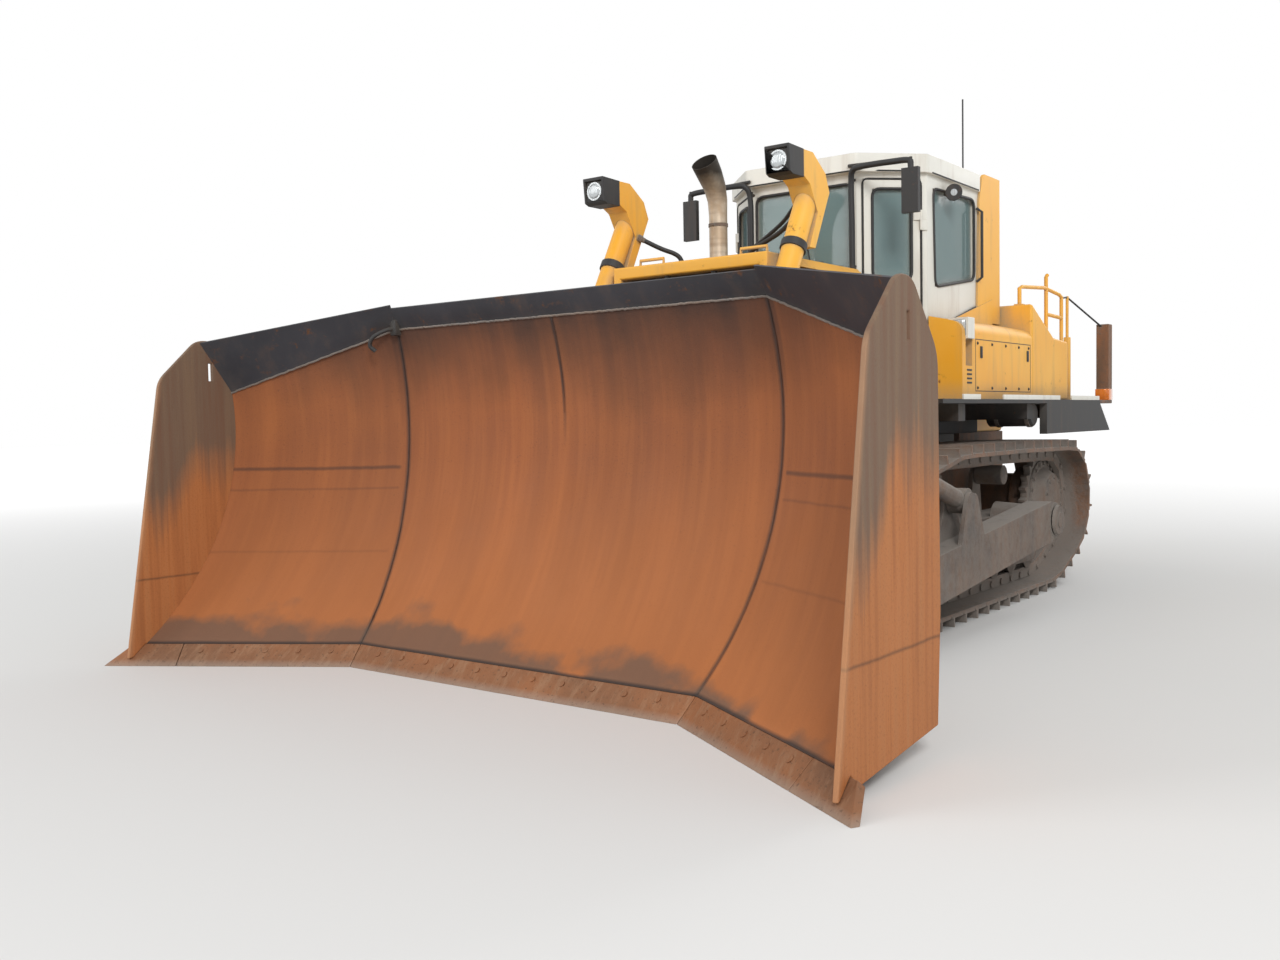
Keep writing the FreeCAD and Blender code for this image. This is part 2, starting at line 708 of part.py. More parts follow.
# Lift cylinder yokes
yoke_inner = block("yoke_inner", ("guard_half", "guard_half + 26"),
                   ("yoke_station - 60", "guard_front + 130"),
                   ("yoke_height - 160", "yoke_height + 70"))
yoke_outer = block("yoke_outer", ("lift_centre + 84", "lift_centre + 110"),
                   ("yoke_station - 60", "guard_front + 130"),
                   ("yoke_height - 160", "yoke_height + 70"))
yoke_back = block("yoke_back", ("guard_half", "lift_centre + 110"),
                  ("guard_front + 100", "guard_front + 130"),
                  ("yoke_height - 160", "yoke_height - 40"))
yoke_bore = prism("yoke_bore", 12, f"(stub_radius + running_gap) / {math.cos(math.pi / 12)}",
                  (d.guard_half + 1, d.yoke_station, d.yoke_height),
                (d.lift_centre + 200, d.yoke_station, d.yoke_height))
both("cylinder_yokes", cut("yoke_bored", joined("yoke_parts", yoke_inner, yoke_outer, yoke_back),
                           yoke_bore))

# Lift cylinders
yoke_spot = Vector(d.lift_centre, d.yoke_station, d.yoke_height)
lug_spot = Vector(d.lift_centre, d.lug_station, d.lug_height_above_ground)
barrel_foot = yoke_spot - lift_way * d.barrel_below
barrel_head = yoke_spot + lift_way * d.barrel_above
lift_tube = rod("lift_tube", "barrel_radius", barrel_foot, barrel_head)
lift_bore = prism("lift_bore", 12, "rod_radius + bore_room", barrel_foot - lift_way * 10,
                  barrel_head - lift_way * 40)
barrel_trunnion = rod("barrel_trunnion", "stub_radius", (d.guard_half + 4, d.yoke_station, d.yoke_height),
                      (d.lift_centre + 106, d.yoke_station, d.yoke_height))
barrel_outside = joined("barrel_outside", lift_tube, barrel_trunnion)
pair("lift_barrel", cut("lift_barrel_tube", barrel_outside, lift_bore))
rod_end = lug_spot + lift_way * d.rod_length
lift_rod = rod("lift_rod_bar", "rod_radius", lug_spot, rod_end)
lift_eye = faceted("lift_eye", 16, lug_spot, [(-d.lift_eye_half, 62), (d.lift_eye_half, 62)])
pair("lift_rod", joined("lift_rod_parts", lift_rod, lift_eye))
lamp_spot = yoke_spot + Vector(0, 126, 860)
lamp_half = 84
lamp_back = 70
lamp_shell = extrude("lamp_shell", "yz", f"lift_centre - {lamp_half}", f"lift_centre + {lamp_half}",
                     outline([
    (lamp_spot.y + u, lamp_spot.z + v) for u, v in (
        (-95, -70), (-60, -84), (lamp_back, -84), (lamp_back, 84), (-110, 90), (-110, 76))]))
lens_room = block("lens_room", (f"lift_centre - {lamp_half} + 14", f"lift_centre + {lamp_half} - 14"),
                  (f"{lamp_spot.y} - 120", f"{lamp_spot.y} - 76"),
                  (f"{lamp_spot.z} - 66", f"{lamp_spot.z} + 70"))
pair("mast_lamp", cut("lamp_housing", lamp_shell, lens_room))
lamp_arm = extrude("lamp_arm", "yz", "lift_centre - 78", "lift_centre + 78", outline([
    (lamp_spot.y + u, lamp_spot.z + v) for u, v in (
        (140, -490), (245, -270), (150, -110), (lamp_back + link_gap, -70), (lamp_back + link_gap, 84),
        (190, 84), (345, -20), (395, -130), (210, -490))]))
lamp_arm_clear = rod("lamp_arm_clear", "barrel_radius + 0.3", barrel_foot, barrel_head + lift_way)
pair("lift_cover", cut("lamp_arm_cut", lamp_arm, lamp_arm_clear))


# The blade: one section swept straight in the middle and along each wing
def bowl_lines():
    """the plate's front and back, from behind the cutting edge up to its top"""
    lean = math.radians(d.edge_angle)
    up_edge = Vector(math.cos(lean), math.sin(lean))
    behind = Vector(math.sin(lean), -math.cos(lean))
    start = up_edge * d.edge_height
    top = Vector(d.bowl_top_station, d.bowl_top)
    chord = top - start
    bulge = math.sqrt(d.bowl_radius ** 2 - (chord.Length / 2) ** 2)
    across = Vector(chord.y, -chord.x).normalize()
    centre = (start + top) / 2 - across * bulge
    return up_edge, behind, start, top, centre


def bowl_point(centre, target, extra):
    """point on the bowl's arc in the direction of a target, moved out by a thickness"""
    return centre + (target - centre).normalize() * (d.bowl_radius + extra)


def bowl_section(back_extra):
    """the plate, stepped back at its foot to lie behind the cutting edge"""
    up_edge, behind, start, top, centre = bowl_lines()
    half = (start + top) / 2
    foot_front = up_edge * d.edge_foot + behind * d.edge_thickness
    foot_back = up_edge * d.edge_foot + behind * (d.edge_thickness + back_extra)
    step_back = up_edge * (d.edge_height + 40) + behind * (d.edge_thickness + back_extra)
    step_front = start + behind * d.edge_thickness
    back_start = bowl_point(centre, start + (top - start) * 0.06, back_extra)
    return [
        Part.LineSegment(foot_front, foot_back), Part.LineSegment(foot_back, step_back),
        Part.LineSegment(step_back, back_start),
        Part.Arc(back_start, bowl_point(centre, half, back_extra), bowl_point(centre, top, back_extra)),
        Part.LineSegment(bowl_point(centre, top, back_extra), top),
        Part.Arc(top, bowl_point(centre, half, 0), start),
        Part.LineSegment(start, step_front), Part.LineSegment(step_front, foot_front),
    ]


def edge_section():
    up_edge, behind, start, top, centre = bowl_lines()
    heel = behind * d.edge_thickness + up_edge * (d.edge_thickness / math.tan(math.radians(d.edge_angle)))
    back = start + behind * d.edge_thickness
    return outline([(0, 0), (start.x, start.y), (back.x, back.y), (heel.x, heel.y)])


def front_section():
    """all the room in front of the bowl's back face"""
    up_edge, behind, start, top, centre = bowl_lines()
    half = (start + top) / 2
    thick = d.plate_thickness
    foot = up_edge * d.edge_foot + behind * (d.edge_thickness + thick)
    step_back = up_edge * (d.edge_height + 40) + behind * (d.edge_thickness + thick)
    back_start = bowl_point(centre, start + (top - start) * 0.06, thick)
    back_top = bowl_point(centre, top, thick)
    far_low, far_high, near_high = Vector(-3000, foot.y), Vector(-3000, 4000), Vector(back_top.x, 4000)
    return [
        Part.LineSegment(far_low, foot), Part.LineSegment(foot, step_back),
        Part.LineSegment(step_back, back_start),
        Part.Arc(back_start, bowl_point(centre, half, thick), back_top),
        Part.LineSegment(back_top, near_high), Part.LineSegment(near_high, far_high),
        Part.LineSegment(far_high, far_low),
    ]


def profile_face(edges, rotation, base):
    wires = Part.Wire(Part.__sortEdges__([edge.toShape() for edge in edges]))
    face = Part.Face(wires)
    face.Placement = Placement(base, rotation)
    return face


def half_space(point, outward, reach=8000):
    """a big block on the far side of a plane"""
    slab = Part.makeBox(reach, reach, reach, Vector(-reach / 2, -reach / 2, 0))
    slab.Placement = Placement(point, Rotation(Vector(0, 0, 1), outward))
    return slab


middle_turn = Rotation(0.5, 0.5, 0.5, 0.5)
joint_spot = Vector(d.middle_half, 0, 0)
joint_out = Vector(math.cos(wing_turn / 2), -math.sin(wing_turn / 2), 0)
wing_turning = Rotation(Vector(0, 0, 1), -d.wing_angle).multiply(middle_turn)


def middle_sweep(edges):
    reach = d.middle_half + 1000
    bar = profile_face(edges, middle_turn, Vector(-reach, 0, 0)).extrude(Vector(2 * reach, 0, 0))
    bar = bar.cut(half_space(joint_spot, joint_out))
    return bar.cut(half_space(Vector(-d.middle_half, 0, 0), Vector(-joint_out.x, joint_out.y, 0)))


def wing_sweep(edges, start=-900, end=2600):
    face = profile_face(edges, wing_turning, joint_spot + wing_way * start)
    bar = face.extrude(wing_way * (end - start))
    return bar.cut(half_space(joint_spot, Vector(-joint_out.x, -joint_out.y, 0)))


def mirror_shape(shape):
    return shape.mirror(Vector(), Vector(1, 0, 0))


up_edge, behind, bowl_start, bowl_end, bowl_centre = bowl_lines()
cheek_face = half_space(Vector(d.cheek_place, 0, 0), Vector(1, 0, 0))
# the wing's top edge falls from the joint to the cheek
joint_low = Vector(d.middle_half + mitre * d.bowl_top_station, d.bowl_top_station, d.bowl_top)
depth_at_cheek = bowl_centre.x + math.sqrt(d.bowl_radius ** 2 - (d.guard_low_at_cheek - bowl_centre.y) ** 2)
cheek_run = (d.cheek_place - joint_spot.x - wing_back.x * depth_at_cheek) / wing_way.x
cheek_low = joint_spot + wing_way * cheek_run + wing_back * depth_at_cheek + Vector(0, 0,
                                                                                    d.guard_low_at_cheek)
fall = (cheek_low - joint_low).normalize()
above_fall = half_space(joint_low, wing_back.cross(fall) * (1 if wing_back.cross(fall).z > 0 else -1))
middle_bowl = middle_sweep(bowl_section(d.plate_thickness))
wing_bowl = wing_sweep(bowl_section(d.plate_thickness)).cut(cheek_face).cut(above_fall)
bowl = middle_bowl.fuse(wing_bowl).fuse(mirror_shape(wing_bowl)).removeSplitter()
node("moldboard", solid("bowl", bowl))

# Cutting edge in three lengths and the end bits at the corners
middle_edge = middle_sweep(edge_section())
bit_joint = joint_spot + wing_way * (d.end_bit_start - d.edge_joint)
wing_edge = wing_sweep(edge_section()).cut(half_space(bit_joint, wing_way))
bit_bar = wing_sweep(edge_section(), d.end_bit_start, d.end_bit_reach)
top_inner = joint_spot + wing_way * d.end_bit_top + Vector(0, 0, bowl_start.y)
low_outer = joint_spot + wing_way * d.end_bit_reach
slant = (top_inner - low_outer).normalize()
bit_bar = bit_bar.cut(half_space(low_outer,
    wing_back.cross(slant) * (1 if wing_back.cross(slant).dot(wing_way) > 0 else -1)))
edge_gap = Vector(d.edge_joint, 0, 0)
middle_edge = middle_edge.cut(half_space(joint_spot - edge_gap, joint_out))
middle_edge = middle_edge.cut(half_space(edge_gap - joint_spot, Vector(-joint_out.x, joint_out.y, 0)))
node("cutting_edges", solid("middle_edge", middle_edge), solid("left_edge", wing_edge),
     solid("right_edge", mirror_shape(wing_edge)), solid("left_bit", bit_bar),
     solid("right_bit", mirror_shape(bit_bar)))


# Spill guard leaning forward over the bowl
def leaf(corners, thickness, outward):
    face = Part.Face(Part.makePolygon([*corners, corners[0]]))
    return face.extrude(outward * thickness)


joint_top = Vector(d.middle_half + mitre * d.guard_top_station, d.guard_top_station, d.guard_top)
low_left = Vector(-joint_low.x, joint_low.y, joint_low.z)
top_left = Vector(-joint_top.x, joint_top.y, joint_top.z)
lean_way = Vector(0, joint_top.y - joint_low.y, joint_top.z - joint_low.z)
middle_out = Vector(0, lean_way.z, -lean_way.y).normalize()
past_joint = Vector(120, 0, 0)
middle_leaf = leaf([joint_low + past_joint, joint_top + past_joint, top_left - past_joint,
                    low_left - past_joint],
                   d.spill_thickness, middle_out)
middle_leaf = middle_leaf.cut(half_space(joint_spot, joint_out))
middle_leaf = middle_leaf.cut(half_space(Vector(-d.middle_half, 0, 0),
                                         Vector(-joint_out.x, joint_out.y, 0)))
wing_plane_out = (joint_top - joint_low).cross(cheek_low - joint_low).normalize()
if wing_plane_out.y < 0:
    wing_plane_out = wing_plane_out * -1
# where the wing's plane meets the cheek at the cheek's top height
rise = d.cheek_top - cheek_low.z
lean = -(wing_plane_out.z * rise) / wing_plane_out.y
cheek_high = Vector(d.cheek_place, cheek_low.y + lean, d.cheek_top)
along_wing = (cheek_low - joint_low).normalize() * past_joint.x
wing_leaf = leaf([joint_low - along_wing, cheek_low + along_wing, cheek_high + along_wing,
                  joint_top - along_wing],
                 d.spill_thickness, wing_plane_out)
wing_leaf = wing_leaf.cut(cheek_face).cut(half_space(joint_spot, joint_out * -1))
guard = middle_leaf.fuse(wing_leaf).fuse(mirror_shape(wing_leaf)).removeSplitter()
node("spill_guard", solid("guard", guard))

# Cheek plates
cheek = extrude("cheek", "yz", "cheek_place", "cheek_place + cheek_thickness", outline([
    (-690, 40), (-430, 1690, 160), (-170, d.cheek_top, 130), (-40, d.cheek_top, 130), (200, 1650, 200),
    (215, 600), (185, 130),
]))
lifting_slot = block("lifting_slot", ("cheek_place - 10", "cheek_place + cheek_thickness + 10"),
                     ("slot_station - slot_width / 2", "slot_station + slot_width / 2"),
                     ("slot_height - slot_length / 2", "slot_height + slot_length / 2"))
both("cheek_plates", cut("cheek_trimmed", cheek, solid("bit_room", bit_bar), lifting_slot))

# Stiffening behind the bowl
front_room = middle_sweep(front_section()).fuse(wing_sweep(front_section())).fuse(
    mirror_shape(wing_sweep(front_section())))


def behind_bowl(name, blank):
    """what is left of a blank behind the bowl's back face"""
    return solid(name, blank.cut(front_room))


def side_plate(low, high, points):
    """flat plate standing across the machine between two x places"""
    run = Part.makePolygon([Vector(low, u, v) for u, v in [*points, points[0]]])
    return Part.Face(run).extrude(Vector(high - low, 0, 0))


def swept(name, corners, end):
    """box beam behind the bowl, mitred where the wings turn forward"""
    wing = wing_sweep(outline(corners), end=end).cut(cheek_face)
    return behind_bowl(name, middle_sweep(outline(corners)).fuse(wing).fuse(mirror_shape(wing)))


low_beam = swept("low_beam", [(120, 130), (560, 130), (640, 210), (640, 470), (560, 560), (250, 560)], 1340)
high_beam = swept("high_beam", [(420, 1330), (720, 1330), (720, 1480), (420, 1560)], 1340)

lift_ears = [behind_bowl(f"lift_ear_{index}", side_plate(inner, inner + d.ear_thickness, [
    (300, 400), (600, 400), (1060, 640), (1090, 720), (1050, 790), (760, 1000), (700, 1400), (450, 1400)]))
    for index, inner in enumerate((d.lift_centre - d.lift_eye_half - d.roll_room - d.ear_thickness,
                                   d.lift_centre + d.lift_eye_half + d.roll_room))]
ribs = [behind_bowl(f"rib_{index}", side_plate(inner, inner + d.rib_thickness, [
    (300, 500), (570, 500), (700, 900), (700, 1400), (450, 1400)]))
    for index, inner in enumerate((d.rib_inner, d.rib_outer))]
frame_box_beams = joined("blade_frame_parts", low_beam, high_beam, *lift_ears, *ribs,
                         *[mirrored(f"{item.Name}_mirrored", item) for item in (*lift_ears, *ribs)])
node("blade_frame", frame_box_beams)

# Ears that hold the push arms and the heads of the tilt cylinders
arm_half = d.arm_width / 2 + d.side_clearance
arm_ear_items = [side_plate(inner, inner + d.ear_thickness, [
    (0, 140), (800, 160), (970, 220), (970, 380), (880, 420), (760, 700), (760, 1250),
    (1000, 1300), (1010, 1440), (930, 1480), (740, 1500), (600, 1700), (100, 1700)])
    for inner in (d.arm_centre - arm_half - d.ear_thickness, d.arm_centre + arm_half)]
arm_ears = cut("arm_ears_cut", joined("arm_ear_plates", *[behind_bowl(f"arm_ear_{index}", plate)
                                                      for index, plate in enumerate(arm_ear_items)]),
               low_beam, high_beam)
arm_pin = prism("arm_pin", 16, "pin_radius + 10",
              (d.arm_centre - arm_half - d.ear_thickness / 2, d.ball_station, d.ball_height),
              (d.arm_centre + arm_half + d.ear_thickness / 2, d.ball_station, d.ball_height))
both("arm_ears", joined("arm_ear_parts", arm_ears, arm_pin))

# Push arms
ball_spot = Vector(d.arm_centre, d.ball_station, d.ball_height)
trunnion_spot = Vector(d.arm_centre, d.trunnion_station, d.trunnion_height)
eye_bore = d.bush_radius_outside + d.eye_clearance
arm_run = (trunnion_spot - ball_spot)
arm_way = Vector(arm_run).normalize()
arm_up = Vector(0, -arm_way.z, arm_way.y)
half_depth = d.arm_depth / 2


def arm_corner(along, up):
    spot = ball_spot + arm_way * along + arm_up * up
    return (spot.y, spot.z)


length = arm_run.Length
arm_beam = extrude("arm_beam", "yz", f"{arm_middle} - arm_width / 2", f"{arm_middle} + arm_width / 2",
                   outline([
    (*arm_corner(-95, -75), 70), (*arm_corner(60, -95), 60), arm_corner(420, -half_depth),
    arm_corner(length - 60, -half_depth), (*arm_corner(length + eye_bore + d.eye_wall, -90), 90),
    (*arm_corner(length + eye_bore + d.eye_wall, 90), 90), arm_corner(length - 60, half_depth),
    arm_corner(420, half_depth), (*arm_corner(60, 95), 60), (*arm_corner(-95, 75), 70),
]), circle(trunnion_spot.y + d.eye_shift, trunnion_spot.z, eye_bore),
circle(ball_spot.y, ball_spot.z, d.pin_radius + 10 + d.running_gap))
foot_spot = Vector(d.arm_centre, d.tilt_foot_station, d.tilt_foot_height)
foot_ears = []
for name, low in (("inner", f"{arm_middle} - arm_width / 2"),
                  ("outer", f"{arm_middle} + arm_width / 2 - ear_thickness")):
    foot_ears.append(extrude(f"{name}_foot_ear", "yz", low, f"{low} + ear_thickness", outline([
        (d.tilt_foot_station - 190, d.tilt_foot_height - 270),
        (d.tilt_foot_station + 190, d.tilt_foot_height - 240),
        (d.tilt_foot_station + 70, d.tilt_foot_height + 40, 50),
        (d.tilt_foot_station - 60, d.tilt_foot_height + 60, 50),
    ])))
foot_pin = prism("foot_pin", 16, "pin_radius", (d.arm_centre - 85, *foot_spot[1:]),
                 (d.arm_centre + 85, *foot_spot[1:]))
pair("push_arm", joined("push_arm_parts", arm_beam, *foot_ears, foot_pin))

# Bearing bushes on the trunnions, crowned so that the arms can rock on them
bush_end = d.bush_radius_outside - d.bush_crown
both("trunnion_bushes", cut("bush", faceted("bush_crown", 20, trunnion_spot, [
    (-d.bush_half, bush_end), (0, d.bush_radius_outside), (d.bush_half, bush_end)]),
    rod("bush_bore", "trunnion_radius + running_gap", trunnion_spot - Vector(100, 0, 0),
        trunnion_spot + Vector(100, 0, 0))))

# Tilt cylinders between the arms and the top of the blade
head_spot = Vector(d.arm_centre, d.tilt_head_station, d.tilt_head_height)
tilt_span = (head_spot - foot_spot).Length
tilt_tube = rod("tilt_tube", "tilt_barrel_radius", foot_spot + tilt_way * 40, foot_spot + tilt_way * 900)
tilt_foot = faceted("tilt_foot", 16, foot_spot, [(-58, 80), (58, 80)])
tilt_hole = rod("tilt_hole", "pin_radius + running_gap", (d.arm_centre - 100, *foot_spot[1:]),
                (d.arm_centre + 100, *foot_spot[1:]))
tilt_bore = prism("tilt_bore", 12, "tilt_rod_radius + bore_room", foot_spot + tilt_way * 130,
                  foot_spot + tilt_way * 910)
pair("tilt_barrel", cut("tilt_barrel_tube", joined("tilt_barrel_outside", tilt_tube, tilt_foot), tilt_bore,
                        tilt_hole))
tilt_bar = rod("tilt_bar", "tilt_rod_radius", foot_spot + tilt_way * 760, head_spot)
tilt_pin_half = arm_half - d.running_gap
tilt_eye = faceted("tilt_eye", 16, head_spot, [(-58, 66), (58, 66)])
tilt_pin = faceted("tilt_pin", 16, head_spot,
                   [(-tilt_pin_half, d.pin_radius), (tilt_pin_half, d.pin_radius)])
pair("tilt_rod", joined("tilt_rod_parts", tilt_bar, tilt_eye, tilt_pin))

# Decks over the tracks
deck_plate = block("deck_top", ("deck_inner", "deck_outer"), ("deck_front", "deck_rear"),
                   ("deck_height - deck_plate", "deck_height"))
skirt = extrude("skirt", "yz", "deck_outer - 60", "deck_outer", outline([
    (4980, d.skirt_bottom), (d.deck_rear + 290, d.skirt_bottom),
    (d.deck_rear, d.deck_height - d.deck_plate),
    (4980, d.deck_height - d.deck_plate),
]))
deck_beams = [block(f"deck_beam_{index}", ("deck_inner", "deck_outer - 60"),
                    (f"{station}", f"{station} + 120"),
                    ("deck_height - deck_plate - 120", "deck_height - deck_plate"))
              for index, station in enumerate((3350, 4700, 5900))]
drum_spot = (d.deck_outer, d.drum_station, d.deck_height - d.deck_plate - d.drum_radius * 0.9)
air_drum = faceted("air_drum", 12, drum_spot, [(-420, d.drum_radius - 12), (-405, d.drum_radius),
                                               (-75, d.drum_radius), (-60, d.drum_radius - 12)])
both("decks", joined("deck_parts", deck_plate, skirt, air_drum, *deck_beams))

# Side pods and tank
pod = extrude("pod_block", "xz", "pod_front", "pod_rear", outline([
    (d.pod_inner, d.deck_height), (d.pod_outer, d.deck_height), (d.pod_outer, d.pod_top, 90),
    (d.pod_inner, d.pod_top + 60),
]))
front_lamp = block("front_lamp", ("pod_outer + 20 - headlamp_width", "pod_outer + 20"),
                   ("pod_front + headlamp_back", "pod_front + headlamp_back + headlamp_length"),
                   ("pod_top + 40 - headlamp_height", "pod_top + 40"))
lamp_pocket = block("lamp_pocket", ("pod_outer - headlamp_width / 2", "pod_outer + 20"),
                    ("pod_front + headlamp_back", "pod_front + headlamp_back + headlamp_length"),
                    ("pod_top - 2 * headlamp_height", "pod_top + 41 - headlamp_height"))


def fender_height(station):
    """top line of the yellow side below the cab's window"""
    share = (station - d.pod_front) / (d.cab_rear - d.pod_front)
    return d.fender_front_height + share * (d.fender_rear_height - d.fender_front_height)


fender_front = d.pod_front + d.fender_setback
fender = extrude("fender", "yz", f"cab_half + {link_gap}", "pod_inner + 1", outline([
    (fender_front, d.deck_height), (d.pod_rear - 100, d.deck_height), (d.pod_rear - 100, d.pod_top),
    (d.cab_rear, d.pod_top), (d.cab_rear, fender_height(d.cab_rear)),
    (fender_front + 30, fender_height(fender_front + 30)),
    (fender_front, fender_height(fender_front) - 40)]))
both("side_pods", joined("pod_parts", cut("pod_with_lamp_room", pod, front_lamp, lamp_pocket), fender))
tank_side = extrude("tank_side", "xy", "deck_height", "tank_top", outline([
    (-d.pod_outer, d.pod_rear), (d.pod_outer, d.pod_rear), (d.pod_outer, d.tank_rear, 320),
    (-d.pod_outer, d.tank_rear, 320),
]))
tank_over = solid("tank_over", side_plate(-2000, 2000,
                                          [(d.pod_rear - 100, d.tank_top), (d.pod_rear, d.tank_top),
                  (d.tank_rear - 620, d.pod_top - 20), (d.tank_rear + 100, d.pod_top - 60),
                  (d.tank_rear + 100, 4000), (d.pod_rear - 100, 4000)]))
tank_low = block("tank_low", ("-body_half", "body_half"), ("pod_rear", "tank_rear - 60"),
                 ("1240", "deck_height"))
tank_shaped = cut("tank_shaped", tank_side, tank_over)
node("tank", joined("tank_parts", tank_shaped, tank_low))

# Cab
plan = [
    (-d.cab_nose_half, d.cab_front), (d.cab_nose_half, d.cab_front), (d.cab_half, d.cab_corner),
    (d.cab_half, d.cab_rear), (-d.cab_half, d.cab_rear), (-d.cab_half, d.cab_corner),
]
wall = d.cab_wall
corner_way = Vector(d.cab_half - d.cab_nose_half, d.cab_corner - d.cab_front).normalize()
inner_plan = [
    (-d.cab_nose_half + wall * 0.4, d.cab_front + wall), (d.cab_nose_half - wall * 0.4, d.cab_front + wall),
    (d.cab_half - wall, d.cab_corner + wall * 0.4), (d.cab_half - wall, d.cab_rear - wall),
    (-d.cab_half + wall, d.cab_rear - wall), (-d.cab_half + wall, d.cab_corner + wall * 0.4),
]
shell = extrude("shell", "xy", "cab_floor", "roof_bottom", outline(plan), outline(inner_plan))
windshield_hole = block("windshield_hole", ("-cab_nose_half + 40", "cab_nose_half - 40"),
                        ("cab_front - 50", "cab_front + cab_wall + 20"),
                        ("sill_height", "roof_bottom - 70"))
side_hole = extrude("side_hole", "yz", "-cab_half - 100", "cab_half + 100", outline([
    (d.cab_corner + 130, d.sill_height - 60), (d.cab_rear - 330, d.sill_height + 50),
    (d.cab_rear - 330, d.roof_bottom - 70), (d.cab_corner + 100, d.roof_bottom - 90)]))
rear_hole = block("rear_hole", ("-cab_half + 150", "cab_half - 150"),
                  ("cab_rear - cab_wall - 20", "cab_rear + 50"),
                  ("sill_height", "roof_bottom - 90"))


def door_blank(margin, low, high, thick_out, thick_in):
    """upright block along the cab's front left corner, kept clear of the corner posts by a margin"""
    start = Vector(d.cab_nose_half, d.cab_front, low) + Vector(corner_way.x, corner_way.y, 0) * margin
    end = Vector(d.cab_half, d.cab_corner, low) - Vector(corner_way.x, corner_way.y, 0) * margin
    out = Vector(corner_way.y, -corner_way.x, 0)
    face = Part.Face(Part.makePolygon([start + out * thick_out, end + out * thick_out, end - out * thick_in,
                                       start - out * thick_in, start + out * thick_out]))
    return face.extrude(Vector(0, 0, high - low))


doorway = solid("doorway", door_blank(d.door_margin, d.cab_floor + 60, d.roof_bottom - 40, 100, 120))
right_doorway = solid("right_doorway", mirror_shape(doorway.Shape))
door_panel = door_blank(d.door_margin + d.door_gap, d.cab_floor + 60 + d.door_gap,
                        d.roof_bottom - 40 - d.door_gap, 0, d.door_thickness)
door_outward = Vector(corner_way.y, -corner_way.x, 0)
door_hinge = (Vector(d.cab_half, d.cab_corner, 0) - Vector(corner_way.x, corner_way.y, 0)
              * (d.door_margin + d.door_gap / 2) + door_outward * d.hinge_out)
cab_door_knuckles, cab_knuckles = [], []
for index, height in enumerate((d.cab_floor + 300, d.roof_bottom - 330)):
    spot = door_hinge + Vector(0, 0, height)
    cab_door_knuckles += hinge_half(f"cab_door_hinge_{index}", spot, 1, corner_way * -1, d.hinge_out)
    cab_knuckles += hinge_half(f"cab_hinge_{index}", spot, -1, corner_way, d.hinge_out)

cab_walls = cut("cab_walls", shell, windshield_hole, side_hole, rear_hole, doorway, right_doorway)
node("cab_shell", joined("cab_shell_parts", cab_walls, *cab_knuckles,
                         *[mirrored(f"{item.Name}_mirrored", item) for item in cab_knuckles]))
door_window = door_blank(115, d.sill_height - 20, d.roof_bottom - 110, 100, 120)
pair("cab_door", joined("door_parts", solid("door_panel", door_panel.cut(door_window)), *cab_door_knuckles))
pair("door_glass", solid("door_pane",
                         door_blank(115.5, d.sill_height - 19.5, d.roof_bottom - 110.5, -20, 26)))
roof = extrude("roof_slab", "xy", "roof_bottom", "roof_top", outline([
    (-d.cab_nose_half - 20, d.cab_front - 60, 60), (d.cab_nose_half + 20, d.cab_front - 60, 60),
    (d.cab_half + 25, d.cab_corner - 30, 60), (d.cab_half + 25, d.cab_rear, 40),
    (-d.cab_half - 25, d.cab_rear, 40), (-d.cab_half - 25, d.cab_corner - 30, 60),
]))
pillar_front = d.cab_rear - d.pillar_reach
pillar_room = block("pillar_room", ("cab_half", "cab_half + 100"),
                    (f"{pillar_front + 40 - link_gap}", "cab_rear + 20"),
                    ("roof_bottom - 1", "roof_top + 1"))
node("cab_roof", cut("roof_trimmed", roof, pillar_room, mirrored("right_pillar_room", pillar_room)))
windshield = block("windshield", ("-cab_nose_half + 40.5", "cab_nose_half - 40.5"),
                   ("cab_front + 20", "cab_front + 20 + glass"),
                   ("sill_height + 0.5", "roof_bottom - 70.5"))
rear_pane = block("rear_pane", ("-cab_half + 150.5", "cab_half - 150.5"),
                  ("cab_rear - 30", "cab_rear - 30 + glass"), ("sill_height + 0.5", "roof_bottom - 90.5"))
side_run = outline([
    (d.cab_corner + 131, d.sill_height - 59), (d.cab_rear - 331, d.sill_height + 50.5),
    (d.cab_rear - 331, d.roof_bottom - 70.5), (d.cab_corner + 101, d.roof_bottom - 90.5)])
side_pane = extrude("side_pane", "yz", "cab_half - 30", "cab_half - 30 + glass", side_run)
node("cab_glass", windshield, rear_pane, side_pane, mirrored("right_side_pane", side_pane))
cab_floor = extrude("floor", "xy", "cab_floor - 30", "cab_floor", outline([(x * 0.98, y) for x, y in plan]))
under_cab = block("under_cab", ("-deck_inner", "deck_inner"), ("hood_rear + 10", "pod_rear"),
                  ("1245", "cab_floor - 30"))
cab_mount = block("cab_mount", ("-body_half", "body_half"), ("hood_rear + 10", "pod_rear"),
                  ("body_top", "1245"))
node("cab_base", joined("cab_base_parts", under_cab, cab_mount, cab_floor))
seat_cushion = block("seat_cushion", ("-260", "260"), ("3960", "4460"),
                     ("cab_floor + 329.3", "cab_floor + 450"))
seat_back = block("seat_back", ("-240", "240"), ("4465", "4580"), ("cab_floor + 399.3", "cab_floor + 1120"))
seat_base = block("seat_box", ("-200", "200"), ("4000", "4500"), ("cab_floor", "cab_floor + 329"))
node("seat", seat_cushion, seat_back)
node("seat_base", joined("seat_base_parts", seat_base,
                         block("seat_rail", ("-60", "60"), ("4465", "4530"),
                               ("cab_floor + 300", "cab_floor + 399"))))
console = block("console_box", ("-330", "330"), ("3360", "3520"), ("cab_floor", "cab_floor + 780"))
node("console", console)

